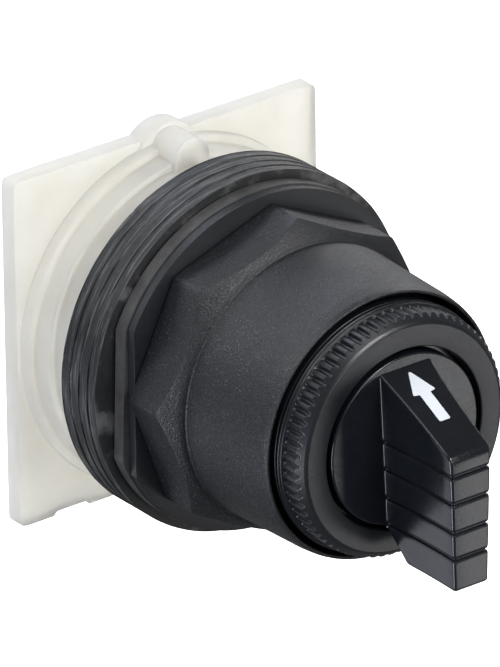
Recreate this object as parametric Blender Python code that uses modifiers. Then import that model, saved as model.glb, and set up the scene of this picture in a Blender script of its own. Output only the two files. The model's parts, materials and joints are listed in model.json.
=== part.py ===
"""Panel-mount rotary selector operator for a 30 mm hole, as separate pieces around one axis.

Every piece hangs from one empty, whose local frame has x to the right, y up and z forward, as
depth from the back of the square plate. In the world the front faces -Y, and the origin lies on
the axis in the plane where the panel seats.
"""

import math

import bmesh
import bpy
from mathutils import Matrix, Vector

MM = 0.001

# Driving dimensions, in millimetres. Depths are measured forward from the back of the plate.
PLATE_THICKNESS = 2.44
PLATE_MARGIN = 0.2
PLATE_EXTRA_HEIGHT = 0.4
SEAT_DEPTH = 11.2
COLLAR_WALL = 2.2
COLLAR_STEPS = ((0.0, 4.5), (0.9, 7.0), (1.9, SEAT_DEPTH - PLATE_THICKNESS / 2))
EAR_R = 4.6
EAR_RISE = 1.45
EAR_PROUD = 0.46
KEY_R = 2.35
KEY_RISE = 1.1
KEY_PROUD = 4.96
NOTCH_OFFSET = -14.3
NOTCH_WIDTH = 5.0
NOTCH_DEPTH = 0.5
THREAD_R = 14.9
BARREL_WALL = 3.7
BARREL_FLANGE_STEP = 2.0
BARREL_FLANGE_DEPTH = 2.9
SPIGOT_STEP = 1.5
SHELF_STEP = 0.7
BEARING_LENGTH = 5.0
GASKET_MARGIN = 1.1
GASKET_PITCH = 1.6
GASKET_COUNT = 4
REAR_WASHER_MARGIN = 0.2
REAR_WASHER_THICKNESS = 1.65
REAR_WASHER_FLAT_DEPTH = 1.6
REAR_WASHER_TURN = math.radians(-1.9)
FRONT_WASHER_MARGIN = 1.2
FRONT_WASHER_THICKNESS = 1.1
FRONT_WASHER_FLAT_DEPTH = 2.1
NUT_SHOULDER = 2.65
NUT_FLANGE_THICKNESS = 4.75
NUT_CONE_LENGTH = 2.1
NUT_CONE_STEP = 0.55
NUT_LENGTH = 21.1
NUT_SIDES = 8
NUT_TURN = math.radians(-3.1)
SKIRT_CLEARANCE = 0.75
SKIRT_WALL = 0.68
SKIRT_TAPER = 0.42
BEZEL_LENGTH = 4.0
BEZEL_LIP = 1.5
BEZEL_KNURL_STEP = 0.4
KNURL_COUNT = 72
KNURL_GROOVE_R = 0.3
KNOB_FLANGE_STEP = 1.7
KNOB_FLANGE_GROOVE = 1.1
KNOB_STEM_R = 8.0
KNOB_REACH = 11.9
KNOB_DRIVE = 9.0
BLADE_HEAD_Y = 9.0
BLADE_FOOT_Y = -13.8
BLADE_HEAD_HALF = 3.5
BLADE_RIDGE_HALF = 3.03
BLADE_HEAD_TAPER = 1.05
BLADE_RIDGE_TAPER = 0.63
RIDGE_TOP_Y = 2.8
GROOVE_HEIGHTS = (0.5, -2.9, -6.5, -9.8)
GROOVE_WIDTH = 0.4
GROOVE_DEPTH = 0.3
SEAL_WIRE_R = 0.6
SEAL_GROOVE_WIDTH = 1.8
SEAL_GROOVE_DEPTH = 1.1
SEAL_BACKSET = 1.9
ARROW_START = 5.2
ARROW_LENGTH = 7.6
ARROW_HEAD_LENGTH = 3.4
ARROW_HEAD_HALF = 1.55
ARROW_SHAFT_HALF = 0.75
STROKE_PER_RADIAN = 2.04
CAM_REACH = math.radians(55.0)
TURN_LIMIT = math.radians(45.0)
PLUNGER_OFFSET = 7.5
PLUNGER_R = 1.5
PLUNGER_COLLAR = 1.2
PLUNGER_LENGTH = 10.3
SPRING_WIRE_R = 0.3
BALL_R = 1.5
DETENT_DEPTH = 24.5
CARRIER_MARGIN = 2.5
CARRIER_THICKNESS = 3.3
INSERT_R = 1.65
INSERT_LENGTH = 5.3
INSERT_WALL = 0.5
INSERT_THREAD_DEPTH = 0.6

# Clearances, in millimetres.
FIT_GAP = 0.3
STACK_GAP = 0.1
THREAD_GAP = 0.2
GUIDE_GAP = 0.25
SEAT_GAP = 0.05

# Facets of round pieces.
RING_STEPS = 48
SMALL_STEPS = 20
TINY_STEPS = 12

# Values that follow from the ones above.
CAVITY_R = THREAD_R - BARREL_WALL
SKIRT_INNER_R = THREAD_R + SKIRT_CLEARANCE
SKIRT_FRONT_R = SKIRT_INNER_R + SKIRT_WALL
SKIRT_ROOT_R = SKIRT_FRONT_R + SKIRT_TAPER
NUT_CORNER_R = SKIRT_ROOT_R + NUT_SHOULDER
FRONT_WASHER_R = NUT_CORNER_R + FRONT_WASHER_MARGIN
REAR_WASHER_R = FRONT_WASHER_R + REAR_WASHER_MARGIN
GASKET_R = REAR_WASHER_R + GASKET_MARGIN
STACK_START = SEAT_DEPTH + STACK_GAP
REAR_WASHER_DEPTH = STACK_START + GASKET_COUNT * GASKET_PITCH + STACK_GAP
FRONT_WASHER_DEPTH = REAR_WASHER_DEPTH + REAR_WASHER_THICKNESS + STACK_GAP
NUT_DEPTH = FRONT_WASHER_DEPTH + FRONT_WASHER_THICKNESS + STACK_GAP
STACK_BORE_R = THREAD_R + FIT_GAP
BARREL_FLANGE_R = THREAD_R + BARREL_FLANGE_STEP
BARREL_BACK = SEAT_DEPTH - BARREL_FLANGE_DEPTH
COLLAR_R = BARREL_FLANGE_R + FIT_GAP + COLLAR_WALL
PLATE_WIDTH = 2 * (COLLAR_R + COLLAR_STEPS[-1][0] + PLATE_MARGIN)
PLATE_HEIGHT = PLATE_WIDTH + PLATE_EXTRA_HEIGHT
BEZEL_DEPTH = NUT_DEPTH + NUT_LENGTH + FIT_GAP / 2
BARREL_SHOULDER = BEZEL_DEPTH - FIT_GAP
SPIGOT_R = THREAD_R - SPIGOT_STEP
BEZEL_FLANGE_R = THREAD_R + 0.1
BEZEL_KNURL_R = BEZEL_FLANGE_R - BEZEL_KNURL_STEP
KNOB_FLANGE_R = SPIGOT_R - FIT_GAP - KNOB_FLANGE_GROOVE
KNOB_DISC_R = KNOB_FLANGE_R - KNOB_FLANGE_STEP
BEZEL_HOLE_R = KNOB_DISC_R + 2 * FIT_GAP
LIP_BACK = BEZEL_DEPTH + BEZEL_LENGTH - BEZEL_LIP
BARREL_FRONT = LIP_BACK - FIT_GAP
SHELF_DEPTH = BARREL_SHOULDER - SHELF_STEP
BEARING_BACK = SHELF_DEPTH - BEARING_LENGTH
SEAL_DEPTH = SHELF_DEPTH - SEAL_BACKSET
KNOB_FACE = BEZEL_DEPTH + BEZEL_LENGTH + 0.1
ROTOR_FRONT = BEARING_BACK - 0.4
ROTOR_R = CAVITY_R - FIT_GAP
SOCKET_BACK = DETENT_DEPTH + 3.9
DETENT_BACK = DETENT_DEPTH - 3.5
CAM_RISE = STROKE_PER_RADIAN * CAM_REACH
CAM_MEAN = CARRIER_THICKNESS + PLUNGER_LENGTH
CAM_R = ROTOR_R - 0.4
CAM_INNER_R = 5.0
CAM_BASE = CAM_MEAN + CAM_RISE + 0.44
CAM_FRONT = CAM_BASE + 1.6
NECK_R = 6.5
ROTOR_SCREW_R = 1.5
ROTOR_SCREW_HEAD_R = 2.8
ROTOR_SCREW_HEAD = 1.8
BALL_CENTRE = CAVITY_R - 0.1 - BALL_R
BALL_TRAVEL = 0.8
NOTCH_R = BALL_R + GUIDE_GAP
NOTCH_CENTRE = BALL_CENTRE + BALL_TRAVEL + BALL_R + SEAT_GAP - NOTCH_R
POCKET_END = 3.2
RIB_HALF_WIDTH = 1.5
RIB_INNER_R = CAVITY_R - 1.8
POCKET_INNER_R = RIB_INNER_R - 0.4
SCREW_CIRCLE_R = (CAVITY_R + THREAD_R - FIT_GAP) / 2
CARRIER_R = SCREW_CIRCLE_R + CARRIER_MARGIN
INSERT_OFFSET = CARRIER_R + GUIDE_GAP + INSERT_WALL + THREAD_GAP + INSERT_R
CARRIER_BACK = FIT_GAP
CARRIER_FRONT = CARRIER_BACK + CARRIER_THICKNESS
WEB_BACK = CARRIER_FRONT + FIT_GAP
WEB_FRONT = BARREL_BACK - FIT_GAP
CARRIER_SCREW_R = 1.0
CARRIER_SCREW_HEAD_R = 1.9
CARRIER_SCREW_HEAD = 1.3
CARRIER_SCREW_TIP = BARREL_BACK + 4.7

OBJECT_NAME = "rotary_selector_operator"
CUTTER_COLLECTION = "cutters"


def clear_scene():
    """Removes whatever the scene holds."""
    for obj in list(bpy.data.objects):
        bpy.data.objects.remove(obj)


def new_collection(name):
    collection = bpy.data.collections.new(name)
    bpy.context.scene.collection.children.link(collection)
    return collection


def material(name, colour, roughness, metallic=0.0, transmission=0.0):
    """A Principled material of one plain colour."""
    mat = bpy.data.materials.new(name)
    mat.use_nodes = True
    shader = mat.node_tree.nodes["Principled BSDF"]
    shader.inputs["Base Color"].default_value = (*colour, 1.0)
    shader.inputs["Roughness"].default_value = roughness
    shader.inputs["Metallic"].default_value = metallic
    shader.inputs["Transmission Weight"].default_value = transmission
    return mat


class Workshop:
    """Makes pieces in one collection and cutters in another, all under the axis empty."""

    def __init__(self):
        self.parts = new_collection(OBJECT_NAME)
        self.cutters = new_collection(CUTTER_COLLECTION)
        self.axis = bpy.data.objects.new("operator_axis", None)
        self.axis.location = (0.0, SEAT_DEPTH * MM, 0.0)
        self.axis.rotation_euler = (math.radians(90.0), 0.0, 0.0)
        self.parts.objects.link(self.axis)

    def add(self, name, data, mat=None, at=(0.0, 0.0, 0.0)):
        """Links a mesh or curve as a piece, or as a cutter when it has no material."""
        obj = bpy.data.objects.new(name, data)
        obj.parent = self.axis
        obj.location = [value * MM for value in at]
        if mat is None:
            obj.hide_render = True
            obj.display_type = "WIRE"
            self.cutters.objects.link(obj)
        else:
            data.materials.append(mat)
            self.parts.objects.link(obj)
        return obj

    def turned(self, name, profile, mat=None, steps=RING_STEPS, at=(0.0, 0.0, 0.0)):
        """A ring or a plug from (radius, depth) points that run down the outer side first."""
        mesh = bpy.data.meshes.new(name)
        points = [(radius * MM, 0.0, depth * MM) for radius, depth in profile]
        closed = min(radius for radius, _ in profile) > 0.0
        edges = [(i, i + 1) for i in range(len(points) - 1)]
        if closed:
            edges.append((len(points) - 1, 0))
        mesh.from_pydata(points, edges, [])
        obj = self.add(name, mesh, mat, at)
        screw = obj.modifiers.new("Turn", "SCREW")
        screw.axis = "Z"
        screw.angle = math.tau
        screw.steps = steps
        screw.render_steps = steps
        screw.use_merge_vertices = True
        screw.merge_threshold = 0.000001
        return obj

    def solid(self, name, shape, mat=None, at=(0.0, 0.0, 0.0)):
        """A piece or a cutter from a filled bmesh."""
        bmesh.ops.recalc_face_normals(shape, faces=shape.faces)
        mesh = bpy.data.meshes.new(name)
        shape.to_mesh(mesh)
        shape.free()
        return self.add(name, mesh, mat, at)

    def prism(self, name, outline, back, front, mat=None, at=(0.0, 0.0, 0.0)):
        """A flat (x, y) outline given thickness from one depth to another."""
        curve = bpy.data.curves.new(name, "CURVE")
        curve.dimensions = "2D"
        curve.fill_mode = "BOTH"
        curve.extrude = (front - back) / 2 * MM
        spline = curve.splines.new("POLY")
        spline.points.add(len(outline) - 1)
        spline.use_cyclic_u = True
        for point, (x, y) in zip(spline.points, outline):
            point.co = (x * MM, y * MM, 0.0, 1.0)
        holder = self.add(name + "_outline", curve)
        bpy.context.view_layer.update()
        graph = bpy.context.evaluated_depsgraph_get()
        mesh = bpy.data.meshes.new_from_object(holder.evaluated_get(graph))
        bpy.data.objects.remove(holder)
        shape = bmesh.new()
        shape.from_mesh(mesh)
        bpy.data.meshes.remove(mesh)
        bmesh.ops.remove_doubles(shape, verts=shape.verts, dist=0.000001)
        bmesh.ops.translate(shape, verts=shape.verts, vec=(0.0, 0.0, (front + back) / 2 * MM))
        return self.solid(name, shape, mat, at)

    def coil(self, name, radius, wire, back, front, turns, mat, at=(0.0, 0.0, 0.0), turn=None):
        """A round-wire compression spring from one depth to another."""
        per_turn = 9
        count = turns * per_turn + 1
        curve = bpy.data.curves.new(name, "CURVE")
        curve.dimensions = "3D"
        curve.bevel_depth = wire * MM
        curve.bevel_resolution = 1
        curve.use_fill_caps = True
        spline = curve.splines.new("POLY")
        spline.points.add(count - 1)
        for index, point in enumerate(spline.points):
            angle = math.tau * index / per_turn
            depth = back + (front - back) * index / (count - 1)
            x, y = radius * math.cos(angle), radius * math.sin(angle)
            point.co = (x * MM, y * MM, depth * MM, 1.0)
        obj = self.add(name, curve, mat, at)
        if turn is not None:
            obj.rotation_euler = turn
        return obj


def shade_round(obj, angle=35.0):
    """Smooth shading that keeps the edges sharper than the angle."""
    obj.data.shade_smooth()
    obj.data.set_sharp_from_angle(angle=math.radians(angle))


def cut(obj, cutter, operation="DIFFERENCE"):
    """Adds an exact Boolean between a piece and a cutter, and returns the modifier."""
    boolean = obj.modifiers.new(cutter.name, "BOOLEAN")
    boolean.operation = operation
    boolean.solver = "EXACT"
    boolean.object = cutter
    return boolean


def add_rod(shape, radius, back, front, at=(0.0, 0.0), steps=SMALL_STEPS, along="Z"):
    """A cylinder in the bmesh, its ends at two places along an axis."""
    length = front - back
    if along == "X":
        turn = Matrix.Rotation(math.radians(90.0), 4, "Y")
        middle = Vector(((front + back) / 2, at[0], at[1]))
    else:
        turn = Matrix.Identity(4)
        middle = Vector((at[0], at[1], (front + back) / 2))
    bmesh.ops.create_cone(
        shape,
        cap_ends=True,
        segments=steps,
        radius1=radius * MM,
        radius2=radius * MM,
        depth=length * MM,
        matrix=Matrix.Translation(middle * MM) @ turn,
    )


def add_block(shape, low, high):
    """A box in the bmesh between two corners."""
    size = [b - a for a, b in zip(low, high)]
    middle = Vector([(a + b) / 2 for a, b in zip(low, high)])
    made = bmesh.ops.create_cube(shape, size=MM)
    bmesh.ops.scale(shape, verts=made["verts"], vec=size)
    bmesh.ops.translate(shape, verts=made["verts"], vec=middle * MM)


def ring_profile(outer, inner, back, front):
    return [(outer, front), (outer, back), (inner, back), (inner, front)]


def arc(radius, start, end, count, centre=(0.0, 0.0)):
    """Points of an arc between two angles in radians."""
    step = (end - start) / (count - 1)
    angles = [start + step * i for i in range(count)]
    return [(centre[0] + radius * math.cos(a), centre[1] + radius * math.sin(a)) for a in angles]


def screw_places():
    """The four places on the screw circle, on the diagonals."""
    angles = [math.radians(45.0 + 90.0 * i) for i in range(4)]
    return [(SCREW_CIRCLE_R * math.cos(a), SCREW_CIRCLE_R * math.sin(a)) for a in angles]


def make_mounting_base(shop, mat):
    """Square plate with the stepped collar, the ear at the top and the locating key."""
    web_r = CAVITY_R + FIT_GAP
    recess_r = CARRIER_R + GUIDE_GAP
    profile = []
    depth = SEAT_DEPTH
    for step, drop in COLLAR_STEPS:
        profile.append((COLLAR_R + step, depth))
        depth = SEAT_DEPTH - drop
        profile.append((COLLAR_R + step, depth))
    profile += [(web_r, depth), (web_r, SEAT_DEPTH)]
    base = shop.turned("mounting_base", profile, mat)

    body = bmesh.new()
    half_w, half_h = PLATE_WIDTH / 2, PLATE_HEIGHT / 2
    add_block(body, (-half_w, -half_h, 0.0), (half_w, half_h, PLATE_THICKNESS))
    cut(base, shop.solid("plate_block", body), "UNION")

    ear_y = half_h + EAR_RISE - EAR_R
    ear = bmesh.new()
    add_rod(ear, EAR_R, 0.0, PLATE_THICKNESS + EAR_PROUD, (0.0, ear_y), SMALL_STEPS)
    cut(base, shop.solid("ear_rod", ear), "UNION")

    key_y = half_h + KEY_RISE - KEY_R
    key_foot = ear_y - 3.0
    key = [(KEY_R, key_foot)] + arc(KEY_R, 0.0, math.pi, 9, (0.0, key_y)) + [(-KEY_R, key_foot)]
    cut(base, shop.prism("key_block", key, 1.0, PLATE_THICKNESS + KEY_PROUD), "UNION")

    flange_seat = bmesh.new()
    add_rod(flange_seat, BARREL_FLANGE_R + FIT_GAP, WEB_FRONT, SEAT_DEPTH + 1.0, steps=RING_STEPS)
    cut(base, shop.solid("barrel_flange_seat", flange_seat))
    recess = bmesh.new()
    add_rod(recess, recess_r, -1.0, WEB_BACK, steps=RING_STEPS)
    cut(base, shop.solid("carrier_recess", recess))
    bore = bmesh.new()
    add_rod(bore, web_r, -1.0, SEAT_DEPTH, steps=RING_STEPS)
    cut(base, shop.solid("base_bore", bore))

    holes = bmesh.new()
    for place in screw_places():
        add_rod(holes, CARRIER_SCREW_R + FIT_GAP, WEB_BACK - 1.0, WEB_FRONT + 1.0, place, TINY_STEPS)
    for side in (-1.0, 1.0):
        centre = (0.0, side * INSERT_OFFSET)
        add_rod(holes, INSERT_R + THREAD_GAP, -1.0, INSERT_LENGTH + 2 * FIT_GAP, centre, TINY_STEPS)
    cut(base, shop.solid("base_holes", holes))

    notch = bmesh.new()
    low = (NOTCH_OFFSET - NOTCH_WIDTH / 2, -half_h - 1.0, -1.0)
    high = (NOTCH_OFFSET + NOTCH_WIDTH / 2, -half_h + NOTCH_DEPTH, PLATE_THICKNESS + 1.0)
    add_block(notch, low, high)
    cut(base, shop.solid("plate_notch", notch))
    return base


def make_barrel(shop, mat):
    """Threaded tube with its rear flange, the front bearing, the detent notches and the stop rib."""
    profile = [
        (SPIGOT_R, BARREL_FRONT),
        (SPIGOT_R, BARREL_SHOULDER),
        (THREAD_R, BARREL_SHOULDER),
        (THREAD_R, SEAT_DEPTH),
        (BARREL_FLANGE_R, SEAT_DEPTH),
        (BARREL_FLANGE_R, BARREL_BACK),
        (CAVITY_R, BARREL_BACK),
        (CAVITY_R, BEARING_BACK),
        (KNOB_STEM_R + FIT_GAP, BEARING_BACK),
        (KNOB_STEM_R + FIT_GAP, SHELF_DEPTH),
        (KNOB_FLANGE_R + FIT_GAP, SHELF_DEPTH),
        (KNOB_FLANGE_R + FIT_GAP, BARREL_FRONT),
    ]
    barrel = shop.turned("operator_barrel", profile, mat)

    rib = bmesh.new()
    low = (-RIB_HALF_WIDTH, -CAVITY_R - 1.0, SOCKET_BACK + 0.4)
    add_block(rib, low, (RIB_HALF_WIDTH, -RIB_INNER_R, BEARING_BACK + 1.0))
    cut(barrel, shop.solid("stop_rib", rib), "UNION")

    notches = bmesh.new()
    for side in (0.0, math.pi):
        for turn in (-TURN_LIMIT, 0.0, TURN_LIMIT):
            x = NOTCH_CENTRE * math.cos(side + turn)
            y = NOTCH_CENTRE * math.sin(side + turn)
            add_rod(notches, NOTCH_R, DETENT_BACK, SOCKET_BACK - 0.6, (x, y), SMALL_STEPS)
    cut(barrel, shop.solid("detent_notches", notches))

    holes = bmesh.new()
    for place in screw_places():
        hole_r = CARRIER_SCREW_R + FIT_GAP / 2
        add_rod(holes, hole_r, BARREL_BACK - 1.0, CARRIER_SCREW_TIP + FIT_GAP, place, TINY_STEPS)
    cut(barrel, shop.solid("barrel_screw_holes", holes))
    return barrel


def make_bezel(shop, mat):
    """Knurled retaining ring screwed on the barrel, its lip in front of the knob's flange."""
    front = BEZEL_DEPTH + BEZEL_LENGTH
    chamfer_r = BEZEL_KNURL_R - 0.7
    profile = [
        (BEZEL_HOLE_R, front),
        (chamfer_r - 0.2, front),
        (chamfer_r, front - 0.3),
        (BEZEL_KNURL_R, front - 1.4),
        (BEZEL_KNURL_R, BEZEL_DEPTH + 0.6),
        (BEZEL_FLANGE_R, BEZEL_DEPTH + 0.6),
        (BEZEL_FLANGE_R, BEZEL_DEPTH),
        (SPIGOT_R + FIT_GAP, BEZEL_DEPTH),
        (SPIGOT_R + FIT_GAP, LIP_BACK),
        (BEZEL_HOLE_R, LIP_BACK),
    ]
    bezel = shop.turned("bezel_ring", profile, mat, KNURL_COUNT)
    grooves = bmesh.new()
    for index in range(KNURL_COUNT):
        angle = math.tau * (index + 0.5) / KNURL_COUNT
        place = (BEZEL_KNURL_R * math.cos(angle), BEZEL_KNURL_R * math.sin(angle))
        add_rod(grooves, KNURL_GROOVE_R, BEZEL_DEPTH + 0.8, front + 1.0, place, 4)
    cut(bezel, shop.solid("knurl_grooves", grooves))
    return bezel


def make_gaskets(shop, mat):
    """Rubber rings stacked on the barrel."""
    for index in range(GASKET_COUNT):
        back = STACK_START + index * GASKET_PITCH
        front = back + GASKET_PITCH - STACK_GAP
        shop.turned(f"gasket_{index + 1}", ring_profile(GASKET_R, STACK_BORE_R, back, front), mat)


def make_washer(shop, name, mat, radius, back, thickness, flat, tilt):
    """Flat ring with two opposite flats."""
    ring = shop.turned(name, ring_profile(radius, STACK_BORE_R, back, back + thickness), mat)
    sides = bmesh.new()
    for side in (-1.0, 1.0):
        low, high = sorted((side * flat, side * (radius + 5.0)))
        add_block(sides, (low, -radius - 5.0, back - 1.0), (high, radius + 5.0, back + thickness + 1.0))
    bmesh.ops.rotate(sides, verts=sides.verts, cent=(0.0, 0.0, 0.0), matrix=Matrix.Rotation(tilt, 3, "Z"))
    cut(ring, shop.solid(name + "_flats", sides))


def make_ring_nut(shop, mat):
    """Octagonal clamping nut with a long round skirt, its corners cut back by a cone."""
    flange_front = NUT_DEPTH + NUT_FLANGE_THICKNESS
    cone_front = flange_front + NUT_CONE_LENGTH
    rim = NUT_DEPTH + NUT_LENGTH
    bore_r = THREAD_R + THREAD_GAP
    skirt_start = cone_front + 3.0
    profile = [
        (SKIRT_INNER_R, rim),
        (SKIRT_INNER_R + 0.4, rim - 0.1),
        (SKIRT_FRONT_R - 0.1, rim - 0.7),
        (SKIRT_FRONT_R, rim - 1.5),
        (SKIRT_ROOT_R, cone_front),
        (SKIRT_ROOT_R + NUT_CONE_STEP, cone_front),
        (NUT_CORNER_R, flange_front),
        (NUT_CORNER_R, NUT_DEPTH),
        (bore_r, NUT_DEPTH),
        (bore_r, skirt_start),
        (SKIRT_INNER_R, skirt_start),
    ]
    nut = shop.turned("ring_nut", profile, mat)
    corners = [
        (NUT_CORNER_R * math.cos(a), NUT_CORNER_R * math.sin(a))
        for a in [NUT_TURN + math.tau * i / NUT_SIDES for i in range(NUT_SIDES)]
    ]
    block = shop.prism("octagon", corners, NUT_DEPTH - 1.0, rim + 1.0)
    cut(nut, block, "INTERSECT")
    return nut


def blade_half_width(y, depth):
    """Half the blade's width: it narrows towards the ridge and towards its lower end."""
    rise = (depth - KNOB_FACE) / KNOB_REACH
    drop = min(max((BLADE_HEAD_Y - y) / (BLADE_HEAD_Y - BLADE_FOOT_Y), 0.0), 1.0)
    foot = BLADE_HEAD_HALF - BLADE_HEAD_TAPER * drop
    ridge = BLADE_RIDGE_HALF - BLADE_RIDGE_TAPER * drop
    return foot + (ridge - foot) * min(max(rise, 0.0), 1.0)


def blade_shape(inset):
    """The blade of the knob as a bmesh, taken in all round by the inset, its foot in the disc."""
    ridge = KNOB_FACE + KNOB_REACH - inset
    foot = KNOB_FACE - 1.5
    side = [
        (BLADE_HEAD_Y + 0.75, foot),
        (BLADE_HEAD_Y, KNOB_FACE),
        (RIDGE_TOP_Y, ridge),
        (BLADE_FOOT_Y + 0.3 + inset, ridge),
        (BLADE_FOOT_Y + inset, KNOB_FACE + 3.2),
        (0.3 - KNOB_DISC_R, KNOB_FACE - 0.3),
        (1.3 - KNOB_DISC_R, foot),
    ]
    shape = bmesh.new()
    verts = [shape.verts.new((0.0, y * MM, depth * MM)) for y, depth in side]
    face = shape.faces.new(verts)
    copy = bmesh.ops.extrude_face_region(shape, geom=[face])
    moved = {v for v in copy["geom"] if isinstance(v, bmesh.types.BMVert)}
    for vert in shape.verts:
        half = blade_half_width(vert.co.y / MM, vert.co.z / MM) - inset
        vert.co.x = (half if vert in moved else -half) * MM
    bmesh.ops.triangulate(shape, faces=shape.faces)
    return shape


def make_knob(shop, mat):
    """Knob: retained flange, disc, finger blade with its grooves, stem, seal groove and square drive."""
    groove_r = KNOB_STEM_R - SEAL_GROOVE_DEPTH
    groove_back = SEAL_DEPTH - SEAL_GROOVE_WIDTH / 2
    groove_front = SEAL_DEPTH + SEAL_GROOVE_WIDTH / 2
    profile = [
        (0.0, KNOB_FACE),
        (KNOB_DISC_R, KNOB_FACE),
        (KNOB_DISC_R, LIP_BACK - FIT_GAP),
        (KNOB_FLANGE_R, LIP_BACK - FIT_GAP),
        (KNOB_FLANGE_R, SHELF_DEPTH + FIT_GAP),
        (KNOB_STEM_R, SHELF_DEPTH + FIT_GAP),
        (KNOB_STEM_R, groove_front),
        (groove_r, groove_front),
        (groove_r, groove_back),
        (KNOB_STEM_R, groove_back),
        (KNOB_STEM_R, ROTOR_FRONT + FIT_GAP),
        (0.0, ROTOR_FRONT + FIT_GAP),
    ]
    knob = shop.turned("knob", profile, mat)

    drive = bmesh.new()
    half = KNOB_DRIVE / 2
    add_block(drive, (-half, -half, SOCKET_BACK + FIT_GAP), (half, half, ROTOR_FRONT + 1.0))
    cut(knob, shop.solid("square_drive", drive), "UNION")
    cut(knob, shop.solid("blade", blade_shape(0.0)), "UNION")

    for index, y in enumerate(GROOVE_HEIGHTS):
        slot = bmesh.new()
        low = (-2 * BLADE_HEAD_HALF, y - GROOVE_WIDTH / 2, KNOB_FACE + 0.6)
        add_block(slot, low, (2 * BLADE_HEAD_HALF, y + GROOVE_WIDTH / 2, KNOB_FACE + KNOB_REACH + 1.0))
        groove = shop.solid(f"groove_{index}", slot)
        cut(groove, shop.solid(f"groove_core_{index}", blade_shape(GROOVE_DEPTH)))
        cut(knob, groove)

    hole = bmesh.new()
    add_rod(hole, ROTOR_SCREW_R + FIT_GAP, SOCKET_BACK - 1.0, ROTOR_FRONT + 1.4, steps=TINY_STEPS)
    cut(knob, shop.solid("knob_screw_hole", hole))
    recess = arrow_block(shop, "arrow_recess", None, 0.1, 0.45, 2.0)
    cut(knob, recess)
    return knob


def arrow_block(shop, name, mat, grow, depth, height):
    """The pointer arrow, square to the sloping face it lies in."""
    slope = math.atan2(KNOB_REACH, BLADE_HEAD_Y - RIDGE_TOP_Y)
    tip = ARROW_START + ARROW_LENGTH + grow * 2.0
    barb = ARROW_START + ARROW_LENGTH - ARROW_HEAD_LENGTH
    neck = barb - 0.15 - grow
    tail = ARROW_START - grow
    half_shaft = ARROW_SHAFT_HALF + grow
    half_head = ARROW_HEAD_HALF + grow
    outline = [
        (0.0, tip),
        (-half_head, barb),
        (-half_shaft, neck),
        (-half_shaft, tail),
        (half_shaft, tail),
        (half_shaft, neck),
        (half_head, barb),
    ]
    block = shop.prism(name, outline, -depth, height, mat)
    block.location = (0.0, RIDGE_TOP_Y * MM, (KNOB_FACE + KNOB_REACH) * MM)
    block.rotation_euler = (-slope, 0.0, 0.0)
    return block


def make_seal(shop, mat):
    """O-ring in the knob's stem."""
    centre_r = KNOB_STEM_R - SEAL_GROOVE_DEPTH + SEAL_WIRE_R + SEAT_GAP
    angles = [-math.tau * i / 8 for i in range(8)]
    profile = [
        (centre_r + SEAL_WIRE_R * math.cos(a), SEAL_DEPTH + SEAL_WIRE_R * math.sin(a)) for a in angles
    ]
    shop.turned("shaft_oring", profile, mat, 32)


def cam_lift(angle):
    """Depth of the cam face behind its mean, for an angle turned from the top."""
    from_side = math.pi / 2 - abs(angle)
    return STROKE_PER_RADIAN * min(max(from_side, -CAM_REACH), CAM_REACH)


def make_rotor(shop, mat):
    """Rotor on the knob's drive: stop sector, ball pockets and the wavy face cam at its back."""
    profile = [
        (ROTOR_R, ROTOR_FRONT),
        (ROTOR_R, DETENT_BACK),
        (NECK_R, DETENT_BACK),
        (NECK_R, CAM_FRONT),
        (CAM_R, CAM_FRONT),
        (CAM_R, CAM_MEAN),
        (CAM_INNER_R, CAM_MEAN),
        (CAM_INNER_R, CAM_BASE),
        (ROTOR_SCREW_R + FIT_GAP, CAM_BASE),
        (ROTOR_SCREW_R + FIT_GAP, ROTOR_FRONT),
    ]
    steps = 60
    shape = bmesh.new()
    rings = []
    for index in range(steps):
        angle = math.tau * index / steps
        ring = []
        for radius, depth in profile:
            if depth == CAM_MEAN:
                depth = CAM_MEAN - cam_lift(math.atan2(math.cos(angle), math.sin(angle)))
            x, y = radius * math.cos(angle), radius * math.sin(angle)
            ring.append(shape.verts.new((x * MM, y * MM, depth * MM)))
        rings.append(ring)
    for index, ring in enumerate(rings):
        other = rings[(index + 1) % steps]
        for low in range(len(profile)):
            high = (low + 1) % len(profile)
            shape.faces.new((ring[low], ring[high], other[high], other[low]))
    rotor = shop.solid("cam_rotor", shape, mat)

    socket = bmesh.new()
    half = KNOB_DRIVE / 2 + THREAD_GAP
    add_block(socket, (-half, -half, SOCKET_BACK), (half, half, ROTOR_FRONT + 1.0))
    cut(rotor, shop.solid("drive_socket", socket))

    pockets = bmesh.new()
    for low, high in ((POCKET_END, ROTOR_R + 1.0), (-ROTOR_R - 1.0, -POCKET_END)):
        add_rod(pockets, BALL_R + 0.15, low, high, (0.0, DETENT_DEPTH), TINY_STEPS, "X")
    cut(rotor, shop.solid("ball_pockets", pockets))

    margin = math.radians(1.0)
    half_angle = TURN_LIMIT + math.asin(RIB_HALF_WIDTH / RIB_INNER_R) + margin
    down = -math.pi / 2
    outer = arc(ROTOR_R + 2.0, down - half_angle, down + half_angle, 15)
    inner = arc(POCKET_INNER_R, down + half_angle, down - half_angle, 15)
    cut(rotor, shop.prism("stop_sector", outer + inner, SOCKET_BACK, ROTOR_FRONT + 1.0))
    return rotor


def make_rotor_screw(shop, mat):
    """Screw that draws the rotor on to the knob's square drive."""
    head_front = CAM_BASE - FIT_GAP
    profile = [
        (0.0, ROTOR_FRONT),
        (ROTOR_SCREW_R, ROTOR_FRONT),
        (ROTOR_SCREW_R, head_front),
        (ROTOR_SCREW_HEAD_R, head_front),
        (ROTOR_SCREW_HEAD_R, head_front - ROTOR_SCREW_HEAD),
        (0.0, head_front - ROTOR_SCREW_HEAD),
    ]
    shop.turned("rotor_screw", profile, mat, SMALL_STEPS)


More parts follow.
